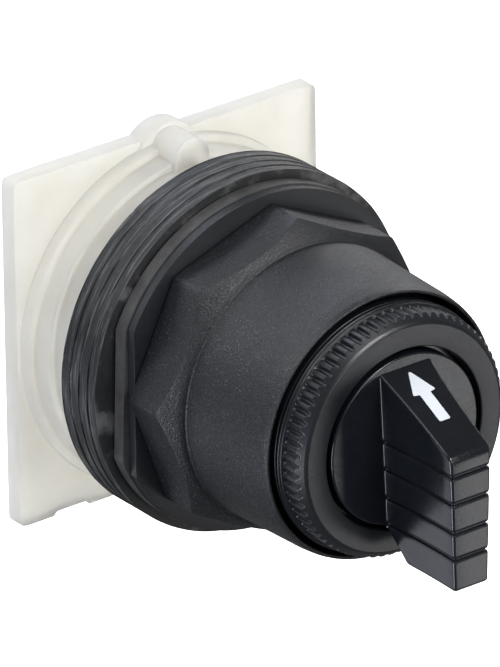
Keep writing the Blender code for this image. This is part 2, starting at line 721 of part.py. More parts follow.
def make_detents(shop, ball_mat, spring_mat):
    """Spring and ball in each side pocket of the rotor."""
    back_of_ball = BALL_CENTRE - BALL_R
    for name, side in (("left", -1.0), ("right", 1.0)):
        shape = bmesh.new()
        bmesh.ops.create_uvsphere(shape, u_segments=12, v_segments=8, radius=BALL_R * MM)
        place = (side * BALL_CENTRE, 0.0, DETENT_DEPTH)
        shade_round(shop.solid(f"detent_ball_{name}", shape, ball_mat, place))
        turn = (0.0, side * math.radians(90.0), 0.0)
        wire = 0.25
        start = POCKET_END + wire + THREAD_GAP
        end = back_of_ball - 0.1
        spring = f"detent_spring_{name}"
        centre = (0.0, 0.0, DETENT_DEPTH)
        shop.coil(spring, BALL_R - 0.45, wire, start, end, 4, spring_mat, centre, turn)


def make_plungers(shop, mat, spring_mat):
    """Plungers that ride on the face cam and press what is mounted behind, with return springs."""
    tip_centre = CAM_MEAN - FIT_GAP - PLUNGER_R
    back = CARRIER_BACK + THREAD_GAP
    collar_front = tip_centre - PLUNGER_COLLAR
    collar_back = collar_front - PLUNGER_COLLAR
    collar_r = PLUNGER_R + PLUNGER_COLLAR
    dome = [
        (PLUNGER_R * math.cos(math.radians(a)), tip_centre + PLUNGER_R * math.sin(math.radians(a)))
        for a in (90, 60, 30, 0)
    ]
    dome[0] = (0.0, tip_centre + PLUNGER_R)
    profile = dome + [
        (PLUNGER_R, collar_front),
        (collar_r, collar_front),
        (collar_r, collar_back),
        (PLUNGER_R, collar_back),
        (PLUNGER_R, back),
        (0.0, back),
    ]
    wire = SPRING_WIRE_R
    for name, side in (("left", -1.0), ("right", 1.0)):
        place = (side * PLUNGER_OFFSET, 0.0, 0.0)
        shop.turned(f"plunger_{name}", profile, mat, SMALL_STEPS, place)
        start = CARRIER_FRONT + wire + SEAT_GAP
        end = collar_back - wire - SEAT_GAP
        radius = PLUNGER_R + wire + 0.35
        shop.coil(f"plunger_spring_{name}", radius, wire, start, end, 5, spring_mat, place)


def make_carrier(shop, mat, screw_mat):
    """Disc behind the rotor that guides the plungers, with the four screws that hold it."""
    profile = [
        (0.0, CARRIER_FRONT),
        (CARRIER_R, CARRIER_FRONT),
        (CARRIER_R, CARRIER_BACK),
        (0.0, CARRIER_BACK),
    ]
    carrier = shop.turned("plunger_carrier", profile, mat)
    head_front = CARRIER_BACK + FIT_GAP + CARRIER_SCREW_HEAD
    holes = bmesh.new()
    for side in (-1.0, 1.0):
        centre = (side * PLUNGER_OFFSET, 0.0)
        add_rod(holes, PLUNGER_R + GUIDE_GAP, -1.0, CARRIER_FRONT + 1.0, centre, SMALL_STEPS)
    for place in screw_places():
        add_rod(holes, CARRIER_SCREW_R + FIT_GAP, head_front, CARRIER_FRONT + 1.0, place, TINY_STEPS)
        add_rod(holes, CARRIER_SCREW_HEAD_R + GUIDE_GAP, -1.0, head_front + FIT_GAP, place, SMALL_STEPS)
    cut(carrier, shop.solid("carrier_holes", holes)).use_self = True

    screw = [
        (0.0, CARRIER_SCREW_TIP),
        (CARRIER_SCREW_R, CARRIER_SCREW_TIP),
        (CARRIER_SCREW_R, head_front),
        (CARRIER_SCREW_HEAD_R, head_front),
        (CARRIER_SCREW_HEAD_R, CARRIER_BACK + FIT_GAP),
        (0.0, CARRIER_BACK + FIT_GAP),
    ]
    for index, (x, y) in enumerate(screw_places()):
        shop.turned(f"carrier_screw_{index + 1}", screw, screw_mat, TINY_STEPS, (x, y, 0.0))


def make_inserts(shop, mat):
    """Brass threaded sleeves for the screws of what is mounted behind."""
    for name, side in (("top", 1.0), ("bottom", -1.0)):
        profile = ring_profile(INSERT_R, INSERT_R - INSERT_THREAD_DEPTH, FIT_GAP, FIT_GAP + INSERT_LENGTH)
        shop.turned(f"contact_insert_{name}", profile, mat, TINY_STEPS, (0.0, side * INSERT_OFFSET, 0.0))


def main():
    clear_scene()
    shop = Workshop()
    natural = material("natural_nylon", (0.80, 0.79, 0.75), 0.35, transmission=0.3)
    satin = material("satin_black_plastic", (0.035, 0.036, 0.040), 0.45)
    filled = material("filled_black_plastic", (0.030, 0.032, 0.036), 0.60)
    rubber = material("black_rubber", (0.028, 0.028, 0.030), 0.75)
    gloss = material("gloss_black_plastic", (0.008, 0.009, 0.012), 0.15)
    white = material("white_enamel", (0.80, 0.84, 0.86), 0.40)
    acetal = material("natural_acetal", (0.78, 0.77, 0.72), 0.40)
    steel = material("zinc_steel", (0.60, 0.60, 0.60), 0.30, 1.0)
    brass = material("brass", (0.70, 0.52, 0.22), 0.30, 1.0)

    make_mounting_base(shop, natural)
    make_barrel(shop, satin)
    make_bezel(shop, satin)
    make_gaskets(shop, rubber)
    make_washer(
        shop,
        "thrust_washer_rear",
        rubber,
        REAR_WASHER_R,
        REAR_WASHER_DEPTH,
        REAR_WASHER_THICKNESS,
        REAR_WASHER_R - REAR_WASHER_FLAT_DEPTH,
        REAR_WASHER_TURN,
    )
    make_washer(
        shop,
        "thrust_washer_front",
        rubber,
        FRONT_WASHER_R,
        FRONT_WASHER_DEPTH,
        FRONT_WASHER_THICKNESS,
        FRONT_WASHER_R - FRONT_WASHER_FLAT_DEPTH,
        0.0,
    )
    make_ring_nut(shop, filled)
    make_knob(shop, gloss)
    arrow_block(shop, "arrow_inlay", white, 0.0, 0.35, 0.0)
    make_seal(shop, rubber)
    make_rotor(shop, acetal)
    make_rotor_screw(shop, steel)
    make_detents(shop, steel, steel)
    make_plungers(shop, acetal, steel)
    make_carrier(shop, satin, steel)
    make_inserts(shop, brass)


main()
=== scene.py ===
"""Looks of a panel-mount rotary selector head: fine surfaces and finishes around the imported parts.

Lengths in this file are millimetres in the head's own frame, (x, up, depth): x to the right and up
as seen from the front, depth forward from the back of the square plate. One function turns them
into metres in the row frame.
"""

from __future__ import annotations

import json
import logging
import math
from dataclasses import dataclass
from enum import Enum
from typing import Any

import bmesh
import bpy
import numpy as np
from mathutils import Matrix, Vector

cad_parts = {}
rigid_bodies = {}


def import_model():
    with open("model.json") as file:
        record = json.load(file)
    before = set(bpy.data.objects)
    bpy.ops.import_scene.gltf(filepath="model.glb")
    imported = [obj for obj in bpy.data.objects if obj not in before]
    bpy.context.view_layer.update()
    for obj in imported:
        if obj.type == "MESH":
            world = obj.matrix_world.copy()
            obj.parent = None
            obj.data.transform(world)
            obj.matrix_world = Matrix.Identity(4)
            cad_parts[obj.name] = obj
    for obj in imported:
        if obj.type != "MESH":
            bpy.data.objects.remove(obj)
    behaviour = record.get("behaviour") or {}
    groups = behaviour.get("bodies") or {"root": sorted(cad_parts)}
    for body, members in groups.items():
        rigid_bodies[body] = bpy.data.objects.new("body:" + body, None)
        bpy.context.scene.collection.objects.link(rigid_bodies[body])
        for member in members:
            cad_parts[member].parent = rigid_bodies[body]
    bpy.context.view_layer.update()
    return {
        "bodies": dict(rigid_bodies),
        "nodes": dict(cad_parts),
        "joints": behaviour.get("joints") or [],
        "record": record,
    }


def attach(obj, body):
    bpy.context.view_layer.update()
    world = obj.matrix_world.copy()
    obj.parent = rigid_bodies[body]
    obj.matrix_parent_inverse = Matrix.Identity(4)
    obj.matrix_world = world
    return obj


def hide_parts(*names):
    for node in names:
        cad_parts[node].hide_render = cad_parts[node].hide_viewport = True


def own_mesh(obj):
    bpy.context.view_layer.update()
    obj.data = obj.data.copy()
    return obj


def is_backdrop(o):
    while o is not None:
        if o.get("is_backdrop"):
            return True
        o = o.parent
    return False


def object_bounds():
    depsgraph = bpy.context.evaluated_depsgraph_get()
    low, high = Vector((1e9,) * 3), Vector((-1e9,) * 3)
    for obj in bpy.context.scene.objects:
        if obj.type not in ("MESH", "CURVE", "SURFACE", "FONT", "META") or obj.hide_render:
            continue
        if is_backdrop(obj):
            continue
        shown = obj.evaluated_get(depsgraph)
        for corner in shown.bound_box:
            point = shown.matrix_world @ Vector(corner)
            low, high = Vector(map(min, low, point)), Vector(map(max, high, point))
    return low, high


LOG = logging.getLogger("selector_head")
MM = 0.001
SEAT_DEPTH = 11.2
SCREW_CIRCLE_R = 12.9
INSERT_UP = 18.0
DETENT_DEPTH = 24.5

Array = np.ndarray


class Body(Enum):
    """The moving groups of the head."""

    HOUSING = "housing"
    KNOB = "knob_group"
    STACK = "clamp_stack"
    NUT = "nut"
    LEFT_BALL = "ball_left"
    RIGHT_BALL = "ball_right"
    LEFT_PLUNGER = "left_plunger"
    RIGHT_PLUNGER = "right_plunger"


class Side(Enum):
    """The two sides of the axis, as signs of x."""

    LEFT = -1.0
    RIGHT = 1.0


# ---------------------------------------------------------------------------------------------
# Surfaces


def to_row_frame(points: Array) -> Array:
    """Turn (x, up, depth) millimetres into row-frame metres: y runs backwards from the seat.

    Args:
        points: array whose last axis is (x, up, depth).

    Returns:
        The same array in metres, with last axis (x, y, z).
    """
    x, up, depth = points[..., 0], points[..., 1], points[..., 2]
    return np.stack([x, SEAT_DEPTH - depth, up], axis=-1) * MM


def grid_faces(rows: int, columns: int, wrap_rows: bool, wrap_columns: bool) -> Array:
    """Quads between neighbouring points of a grid, numbered row by row.

    Args:
        rows: number of rows.
        columns: number of columns.
        wrap_rows: whether the last row joins the first.
        wrap_columns: whether the last column joins the first.

    Returns:
        An (n, 4) array of vertex numbers.
    """
    r = np.arange(rows if wrap_rows else rows - 1)
    c = np.arange(columns if wrap_columns else columns - 1)
    r0, c0 = np.meshgrid(r, c, indexing="ij")
    r1, c1 = (r0 + 1) % rows, (c0 + 1) % columns
    quads = [r0 * columns + c0, r0 * columns + c1, r1 * columns + c1, r1 * columns + c0]
    return np.stack(quads, axis=-1).reshape(-1, 4)


def mesh_from(name: str, points: Array, faces: Array, sharp: float = 40.0) -> bpy.types.Object:
    """Put points and faces into a mesh whose faces look outwards and whose doubles are merged.

    Args:
        name: name of the object.
        points: (n, 3) array in (x, up, depth) millimetres.
        faces: (m, 3) or (m, 4) array of vertex numbers.
        sharp: edges that turn by more than this many degrees stay sharp.

    Returns:
        The new object, at the origin.
    """
    mesh = bpy.data.meshes.new(name)
    mesh.from_pydata(to_row_frame(points).tolist(), [], faces.tolist())
    obj = bpy.data.objects.new(name, mesh)
    bpy.context.scene.collection.objects.link(obj)
    tidy_mesh(mesh, sharp)
    return obj


def surface(name: str, points: Array, sharp: float = 40.0, closed: bool = True) -> bpy.types.Object:
    """A mesh from a grid of points that closes round its columns.

    Args:
        name: name of the object.
        points: (rows, columns, 3) array.
        sharp: edges that turn by more than this many degrees stay sharp.
        closed: whether the rows close too.

    Returns:
        The new object.
    """
    faces = grid_faces(points.shape[0], points.shape[1], closed, True)
    return mesh_from(name, points.reshape(-1, 3), faces, sharp)


def tidy_mesh(mesh: bpy.types.Mesh, sharp: float) -> None:
    """Merge doubles, turn every face outwards and shade smooth but for the sharp edges.

    Args:
        mesh: the mesh to tidy.
        sharp: edges that turn by more than this many degrees stay sharp.
    """
    shape = bmesh.new()
    shape.from_mesh(mesh)
    bmesh.ops.remove_doubles(shape, verts=shape.verts, dist=1e-6)
    bmesh.ops.dissolve_degenerate(shape, edges=shape.edges, dist=1e-7)
    bmesh.ops.recalc_face_normals(shape, faces=shape.faces)
    shape.to_mesh(mesh)
    shape.free()
    mesh.shade_smooth()
    mesh.set_sharp_from_angle(angle=math.radians(sharp))


def combine(obj: bpy.types.Object, cutter: bpy.types.Object, operation: str, sharp: float = 40.0) -> None:
    """Join or cut a piece with another by an exact Boolean, bake it and drop the other.

    Args:
        obj: the piece that is changed.
        cutter: the other shape.
        operation: UNION or DIFFERENCE.
        sharp: edges that turn by more than this many degrees stay sharp.
    """
    boolean = obj.modifiers.new("combine", "BOOLEAN")
    boolean.operation = operation
    boolean.solver = "EXACT"
    boolean.object = cutter
    bpy.context.view_layer.update()
    graph = bpy.context.evaluated_depsgraph_get()
    baked = bpy.data.meshes.new_from_object(obj.evaluated_get(graph))
    obj.modifiers.clear()
    obj.data = baked
    bpy.data.objects.remove(cutter)
    tidy_mesh(baked, sharp)


def fillet(outline: list[tuple[float, float, float]], per_corner: int = 5, closed: bool = True) -> Array:
    """Round each corner of an outline with an arc of its own radius.

    The arc touches both neighbouring edges: its tangent length is radius / tan(half the corner's
    inner angle), capped at 0.49 of the shorter edge, and its points are spaced evenly in angle.

    Args:
        outline: corners as (u, v, radius); a radius of zero keeps the corner.
        per_corner: points on each arc.
        closed: whether the last corner joins the first; ends of an open outline stay.

    Returns:
        An (n, 2) array of points along the rounded outline.
    """
    corners = np.array([(u, v) for u, v, _ in outline])
    radii = [radius for _, _, radius in outline]
    count = len(corners)
    pieces = []
    for index, here in enumerate(corners):
        at_end = not closed and index in (0, count - 1)
        before = corners[index - 1] - here
        after = corners[(index + 1) % count] - here
        la, lb = np.linalg.norm(before), np.linalg.norm(after)
        if at_end or radii[index] <= 0.0:
            pieces.append(here[None, :])
            continue
        a, b = before / la, after / lb
        half = 0.5 * math.acos(float(np.clip(a @ b, -1.0, 1.0)))
        reach = min(radii[index] / math.tan(half), 0.49 * la, 0.49 * lb)
        radius = reach * math.tan(half)
        centre = here + (a + b) / np.linalg.norm(a + b) * radius / math.sin(half)
        start, end = here + a * reach - centre, here + b * reach - centre
        sweep = math.atan2(start[0] * end[1] - start[1] * end[0], float(start @ end))
        turn = np.linspace(0.0, sweep, per_corner)
        cos, sin = np.cos(turn), np.sin(turn)
        arc = np.stack([cos * start[0] - sin * start[1], sin * start[0] + cos * start[1]], axis=-1)
        pieces.append(centre + arc)
    return np.concatenate(pieces)


def revolve(radius: Array, depth: Array, angle: Array, centre: tuple[float, float] = (0.0, 0.0)) -> Array:
    """Carry a profile round the axis: x = radius cos(angle), up = radius sin(angle).

    Args:
        radius: (rows, columns) or (rows, 1) radii.
        depth: depths of the same shape.
        angle: (columns,) angles in radians.
        centre: the axis's (x, up).

    Returns:
        A (rows, columns, 3) array of points.
    """
    shape = (radius.shape[0], angle.size)
    turn = np.broadcast_to(angle, shape)
    r = np.broadcast_to(radius, shape)
    x = centre[0] + r * np.cos(turn)
    up = centre[1] + r * np.sin(turn)
    return np.stack([x, up, np.broadcast_to(depth, shape)], axis=-1)


def round_piece(
    name: str,
    profile: Array,
    steps: int,
    centre: tuple[float, float] = (0.0, 0.0),
    closed: bool = True,
    sharp: float = 40.0,
) -> bpy.types.Object:
    """A turned piece from (radius, depth) points; an open profile starts and ends on the axis.

    Args:
        name: name of the object.
        profile: (n, 2) array of radius and depth.
        steps: facets round the axis.
        centre: the axis's (x, up).
        closed: whether the profile is a closed loop.
        sharp: edges that turn by more than this many degrees stay sharp.

    Returns:
        The new object.
    """
    angle = np.linspace(0.0, math.tau, steps, endpoint=False)
    points = revolve(profile[:, :1], profile[:, 1:], angle, centre)
    return surface(name, points, sharp, closed)


def swept_wire(name: str, path: Array, radius: float, sides: int = 12) -> bpy.types.Object:
    """A round wire along a path, with each end closed to a point.

    The section is a circle in the plane of two vectors square to the path: one is the path's
    direction crossed with the axis that it turns least about, the other completes the frame.

    Args:
        name: name of the object.
        path: (n, 3) points of the wire's middle.
        radius: the wire's radius.
        sides: facets round the wire.

    Returns:
        The new object.
    """
    along = np.gradient(path, axis=0)
    along /= np.linalg.norm(along, axis=1, keepdims=True)
    guide = np.zeros(3)
    guide[int(np.argmin(np.abs(along).mean(axis=0)))] = 1.0
    side = np.cross(along, guide)
    side /= np.linalg.norm(side, axis=1, keepdims=True)
    other = np.cross(along, side)
    turn = np.linspace(0.0, math.tau, sides, endpoint=False)[None, :, None]
    ring = path[:, None] + radius * (np.cos(turn) * side[:, None] + np.sin(turn) * other[:, None])
    ends = [np.repeat(path[i][None, None], sides, axis=1) for i in (0, -1)]
    points = np.concatenate([ends[0], ring, ends[1]])
    return surface(name, points, closed=False)


def rod(name: str, radius: float, back: float, front: float, centre: tuple[float, float]) -> bpy.types.Object:
    """A plain cylinder along the axis, used to drill a hole or a notch.

    Args:
        name: name of the object.
        radius: its radius.
        back: depth of its back end.
        front: depth of its front end.
        centre: its (x, up).

    Returns:
        The new object.
    """
    profile = np.array([(0.0, front), (radius, front), (radius, back), (0.0, back)])
    return round_piece(name, profile, 48, centre, closed=False)


def diagonal_places(circle: float) -> list[tuple[float, float]]:
    """The four places on a circle's diagonals."""
    angles = [math.radians(45.0 + 90.0 * i) for i in range(4)]
    return [(circle * math.cos(a), circle * math.sin(a)) for a in angles]


def extruded(name: str, outline: Array, back: float, front: float, sharp: float = 30.0) -> bpy.types.Object:
    """A flat outline given thickness: two copies of the loop and a fan to each one's middle.

    Args:
        name: name of the object.
        outline: (n, 2) closed loop of (x, up), star-shaped about its mean.
        back: depth of its back face.
        front: depth of its front face.
        sharp: edges that turn by more than this many degrees stay sharp.

    Returns:
        The new object.
    """
    count = len(outline)
    middle = outline.mean(axis=0)
    loops = [np.repeat(middle[None], count, axis=0), outline, outline, np.repeat(middle[None], count, axis=0)]
    depths = [back, back, front, front]
    rows = [np.column_stack([loop, np.full(count, depth)]) for loop, depth in zip(loops, depths)]
    return mesh_from(name, np.concatenate(rows), grid_faces(4, count, False, True), sharp)


def smooth_step(value: Array) -> Array:
    """Ease from 0 to 1 as the value goes from 0 to 1: 3 t^2 - 2 t^3."""
    t = np.clip(value, 0.0, 1.0)
    return t * t * (3.0 - 2.0 * t)


def ripple(angle: Array, seed: int, waves: int, amplitude: float, lowest: int = 3) -> Array:
    """A sum of sines round the axis with seeded phases, for edges that were cut by hand.

    Args:
        angle: angles in radians.
        seed: seed of the phases and strengths.
        waves: how many sines.
        amplitude: largest sum of their heights.
        lowest: waves per turn of the slowest sine.

    Returns:
        Heights, as many as the angles.
    """
    random = np.random.default_rng(seed)
    phase = random.uniform(0.0, math.tau, waves)
    strength = random.uniform(0.3, 1.0, waves)
    rate = lowest + np.arange(waves) * 2 + random.integers(0, 2, waves)
    height = strength[:, None] * np.sin(rate[:, None] * angle[None, :] + phase[:, None])
    return amplitude * height.sum(axis=0) / strength.sum()


# ---------------------------------------------------------------------------------------------
# Materials


def srgb(code: str) -> tuple[float, float, float, float]:
    """Turn an sRGB hex code into a linear colour with full alpha.

    Args:
        code: six hex digits after a hash.

    Returns:
        The linear red, green, blue and alpha.
    """
    parts = [int(code[i : i + 2], 16) / 255 for i in (1, 3, 5)]
    linear = [c / 12.92 if c <= 0.04045 else ((c + 0.055) / 1.055) ** 2.4 for c in parts]
    return (linear[0], linear[1], linear[2], 1.0)


def per_metre(size_mm: float) -> float:
    """Texture scale that gives one cell to each length of this many millimetres."""
    return 1.0 / (size_mm * MM)


class Graph:
    """A material's node tree, with the shader ready and one way to add a node."""

    def __init__(self, name: str) -> None:
        """Start an empty material with a Principled shader.

        Args:
            name: name of the material.
        """
        self.material = bpy.data.materials.new(name)
        self.material.use_nodes = True
        self.tree = self.material.node_tree
        self.shader = self.tree.nodes["Principled BSDF"]
        self.place = self.add("ShaderNodeTexCoord").outputs["Object"]

    def add(self, kind: str, settings: dict[str, Any] | None = None, **links: Any) -> bpy.types.Node:
        """Add a node.

        Args:
            kind: the node's type name.
            settings: attributes of the node, and values of its inputs by name or number.
            links: for each input name, with spaces as underscores, the socket that feeds it.

        Returns:
            The new node.
        """
        node = self.tree.nodes.new(kind)
        for key, value in (settings or {}).items():
            if isinstance(key, str) and hasattr(node, key):
                setattr(node, key, value)
            else:
                node.inputs[key].default_value = value
        for key, socket in links.items():
            self.tree.links.new(socket, node.inputs[key.replace("_", " ")])
        return node

    def ramp(self, factor: Any, stops: list[tuple[float, tuple[float, float, float, float]]]) -> Any:
        """A colour ramp over a factor.

        Args:
            factor: the socket that drives it.
            stops: places and linear colours, in order.

        Returns:
            The ramp's colour output.
        """
        node = self.add("ShaderNodeValToRGB", Fac=factor)
        elements = node.color_ramp.elements
        while len(elements) < len(stops):
            elements.new(0.5)
        for element, (place, colour) in zip(elements, stops):
            element.position = place
            element.color = colour
        return node.outputs["Color"]

    def set(self, **values: Any) -> None:
        """Set the shader's own sockets by name, with spaces as underscores."""
        for key, value in values.items():
            self.shader.inputs[key.replace("_", " ")].default_value = value

    def feed(self, name: str, socket: Any) -> None:
        """Link a socket to one of the shader's inputs."""
        self.tree.links.new(socket, self.shader.inputs[name])

    def bump(self, height: Any, distance_mm: float, strength: float, under: Any = None) -> Any:
        """A bump of real height over an optional earlier one.

        Args:
            height: the socket that gives the height from 0 to 1.
            distance_mm: height of the relief in millimetres.
            strength: how much of it shows.
            under: an earlier normal that this one adds to.

        Returns:
            The bump's normal output.
        """
        node = self.add("ShaderNodeBump", {"Strength": strength, "Distance": distance_mm * MM}, Height=height)
        if under is not None:
            self.tree.links.new(under, node.inputs["Normal"])
        return node.outputs["Normal"]


@dataclass(frozen=True)
class MouldedPlastic:
    """An injection-moulded plastic, from its tones, its gloss and its tool's texture."""

    name: str
    dark: str
    light: str
    roughness: tuple[float, float]
    grain_mm: float
    grain_depth_mm: float
    grain_strength: float
    flow_mm: float = 6.0
    ior: float = 1.5
    coat: float = 0.0

    def make(self) -> bpy.types.Material:
        """Build the material: slow flow tones, a fine tool texture and a gloss that varies with both.

        Returns:
            The material.
        """
        g = Graph(self.name)
        flow = g.add(
            "ShaderNodeTexNoise",
            {"Scale": per_metre(self.flow_mm), "Detail": 3.0, "Roughness": 0.55},
            Vector=g.place,
        )
        grain = g.add(
            "ShaderNodeTexNoise",
            {"Scale": per_metre(self.grain_mm), "Detail": 2.0, "Roughness": 0.6},
            Vector=g.place,
        )
        g.feed("Base Color", g.ramp(flow.outputs["Fac"], [(0.3, srgb(self.dark)), (0.7, srgb(self.light))]))
        low, high = self.roughness
        gloss = g.add(
            "ShaderNodeMapRange",
            {"From Min": 0.3, "From Max": 0.7, "To Min": low, "To Max": high},
            Value=grain.outputs["Fac"],
        )
        g.feed("Roughness", gloss.outputs["Result"])
        g.feed("Normal", g.bump(grain.outputs["Fac"], self.grain_depth_mm, self.grain_strength))
        g.set(IOR=self.ior, Coat_Weight=self.coat, Coat_Roughness=0.06)
        return g.material


@dataclass(frozen=True)
class GlassFilledNylon:
    """Black nylon filled with short glass, with pale specks painted into its colour as glints where fibres
    under the skin catch the light.
    """

    name: str = "glass_filled_nylon"
    # Size of the pale specks painted in as glints.
    glint_mm: float = 0.22

    def make(self) -> bpy.types.Material:
        """Build the material: dark ground, pale specks painted in as glints of light on the fibres, and a
        pebbled skin.

        Returns:
            The material.
        """
        g = Graph(self.name)
        glint_noise = g.add(
            "ShaderNodeTexNoise",
            {"Scale": per_metre(self.glint_mm), "Detail": 3.0, "Roughness": 0.75},
            Vector=g.place,
        )
        cloud = g.add(
            "ShaderNodeTexNoise",
            {"Scale": per_metre(4.0), "Detail": 2.0},
            Vector=g.place,
        )
        # Dark ground and mid tone, with a pale top stop painted into the colour as glints of light on the
        # fibres.
        ground_and_painted_glints = g.ramp(
            glint_noise.outputs["Fac"],
            [(0.42, srgb("#0b0c0f")), (0.58, srgb("#14161b")), (0.72, srgb("#5d626c"))],
        )
        tone = g.ramp(cloud.outputs["Fac"], [(0.3, (0.80, 0.80, 0.82, 1.0)), (0.7, (1.0, 1.0, 1.0, 1.0))])
        mixed = g.add("ShaderNodeMix", {"data_type": "RGBA", "blend_type": "MULTIPLY", 0: 1.0})
        g.tree.links.new(ground_and_painted_glints, mixed.inputs[6])
        g.tree.links.new(tone, mixed.inputs[7])
        g.feed("Base Color", mixed.outputs[2])
        gloss = g.add(
            "ShaderNodeMapRange",
            {"From Min": 0.40, "From Max": 0.62, "To Min": 0.50, "To Max": 0.26},
            Value=glint_noise.outputs["Fac"],
        )
        g.feed("Roughness", gloss.outputs["Result"])
        pebble = g.add(
            "ShaderNodeTexNoise",
            {"Scale": per_metre(0.24), "Detail": 3.0, "Roughness": 0.7},
            Vector=g.place,
        )
        g.feed("Normal", g.bump(pebble.outputs["Fac"], 0.085, 1.0))
        g.set(IOR=1.53)
        return g.material


@dataclass(frozen=True)
class NaturalNylon:
    """Unpigmented nylon: milky, lets light in, with a faint cream tone where it is thick."""

    name: str = "natural_nylon"

    def make(self) -> bpy.types.Material:
        """Build the material: light scattered under the skin, clear enough to glow at thin edges.

        Returns:
            The material.
        """
        g = Graph(self.name)
        cloud = g.add(
            "ShaderNodeTexNoise",
            {"Scale": per_metre(5.0), "Detail": 3.0, "Roughness": 0.5},
            Vector=g.place,
        )
        g.feed("Base Color", g.ramp(cloud.outputs["Fac"], [(0.3, srgb("#e6e3d8")), (0.7, srgb("#eeebe2"))]))
        ripple_noise = g.add(
            "ShaderNodeTexNoise",
            {"Scale": per_metre(1.6), "Detail": 2.0},
            Vector=g.place,
        )
        gloss = g.add(
            "ShaderNodeMapRange",
            {"From Min": 0.3, "From Max": 0.7, "To Min": 0.42, "To Max": 0.58},
            Value=ripple_noise.outputs["Fac"],
        )
        g.feed("Roughness", gloss.outputs["Result"])
        g.feed("Normal", g.bump(ripple_noise.outputs["Fac"], 0.03, 0.25))
        g.set(
            IOR=1.53,
            Subsurface_Weight=1.0,
            Subsurface_Radius=(1.0, 0.98, 0.92),
            Subsurface_Scale=6.0 * MM,
            Transmission_Weight=0.45,
            Specular_IOR_Level=0.3,
        )
        return g.material


@dataclass(frozen=True)
class CutRubber:
    """Black rubber sheet, die-cut: dull faces, and rims with the streaks of the knife."""

    name: str = "cut_rubber"
    streak_long: float = 7.0
    streak_wide: float = 0.32

    def make(self) -> bpy.types.Material:
        """Build the material: dusty black with streaks that run along the rim.

        The streaks are noise drawn out across the axis and kept short along it, so they run round
        the rim.

        Returns:
            The material.
        """
        g = Graph(self.name)
        along = per_metre(self.streak_long)
        drawn = g.add(
            "ShaderNodeMapping",
            {"Scale": (along, per_metre(self.streak_wide), along)},
            Vector=g.place,
        )
        streak = g.add(
            "ShaderNodeTexNoise",
            {"Scale": 1.0, "Detail": 4.0, "Roughness": 0.65},
            Vector=drawn.outputs["Vector"],
        )
        dust = g.add(
            "ShaderNodeTexNoise",
            {"Scale": per_metre(0.5), "Detail": 3.0, "Roughness": 0.7},
            Vector=g.place,
        )
        shades = [(0.36, srgb("#0c0d0f")), (0.52, srgb("#151618")), (0.64, srgb("#525252"))]
        g.feed("Base Color", g.ramp(streak.outputs["Fac"], shades))
        gloss = g.add(
            "ShaderNodeMapRange",
            {"From Min": 0.3, "From Max": 0.7, "To Min": 0.38, "To Max": 0.60},
            Value=dust.outputs["Fac"],
        )
        g.feed("Roughness", gloss.outputs["Result"])
        rim = g.bump(streak.outputs["Fac"], 0.08, 0.45)
        g.feed("Normal", g.bump(dust.outputs["Fac"], 0.02, 0.35, rim))
        g.set(IOR=1.52)
        return g.material


@dataclass(frozen=True)
class TurnedMetal:
    """A metal with the fine lines of its drawing or turning."""

    name: str
    colour: str
    dull: str
    roughness: tuple[float, float]
    line_mm: float = 0.15

    def make(self) -> bpy.types.Material:
        """Build the material: bright metal, toned in patches, with fine turning lines.

        Returns:
            The material.
        """
        g = Graph(self.name)
        patch = g.add("ShaderNodeTexNoise", {"Scale": per_metre(1.2), "Detail": 3.0}, Vector=g.place)
        squash = g.add("ShaderNodeMapping", {"Scale": (0.2, 1.0, 0.2)}, Vector=g.place)
        lines = g.add(
            "ShaderNodeTexNoise",
            {"Scale": per_metre(self.line_mm), "Detail": 1.0},
            Vector=squash.outputs["Vector"],
        )
        g.feed("Base Color", g.ramp(patch.outputs["Fac"], [(0.3, srgb(self.dull)), (0.7, srgb(self.colour))]))
        low, high = self.roughness
        gloss = g.add(
            "ShaderNodeMapRange",
            {"From Min": 0.3, "From Max": 0.7, "To Min": low, "To Max": high},
            Value=lines.outputs["Fac"],
        )
        g.feed("Roughness", gloss.outputs["Result"])
        g.feed("Normal", g.bump(lines.outputs["Fac"], 0.01, 0.3))
        g.set(Metallic=1.0)
        return g.material


# Polished black acrylic-like nylon of the knob: the tool was mirror-finished, so it reflects softly.
KNOB_GLOSS = MouldedPlastic("polished_black_nylon", "#0e1015", "#13161c", (0.17, 0.26), 0.4, 0.006, 0.3)
# Satin black nylon of the bezel and barrel: a lightly blasted tool gives an even sheen.
SATIN_BLACK = MouldedPlastic("satin_black_nylon", "#101216", "#16181d", (0.28, 0.40), 0.16, 0.016, 0.32)
# Front washer of black sheet plastic: flat, slightly scuffed, a little shinier than the rubber.
WASHER_BLACK = MouldedPlastic("black_sheet_plastic", "#101216", "#191b20", (0.34, 0.50), 0.35, 0.02, 0.35)
# Rear washer of dark pressed fibre: its sawn rim is paler than its face and quite dull.
PRESSED_FIBRE = MouldedPlastic("pressed_fibre", "#2f2e2f", "#454544", (0.45, 0.62), 0.22, 0.03, 0.5, 2.0)
# White filling of the pointer: pad-printed enamel, slightly uneven.
WHITE_ENAMEL = MouldedPlastic("white_enamel", "#cfd5da", "#dde2e7", (0.35, 0.5), 0.25, 0.01, 0.3)
# Natural acetal of the rotor and plungers: slippery white, waxy sheen.
ACETAL = MouldedPlastic("natural_acetal", "#e3e1d8", "#efede6", (0.30, 0.42), 0.3, 0.01, 0.25)
# Bright zinc-plated steel of screws, balls and springs.
ZINC_STEEL = TurnedMetal("zinc_plated_steel", "#c9ccd0", "#a9adb2", (0.18, 0.34))
# Turned brass of the threaded inserts.
BRASS = TurnedMetal("turned_brass", "#d8b25a", "#b98f3e", (0.20, 0.36))


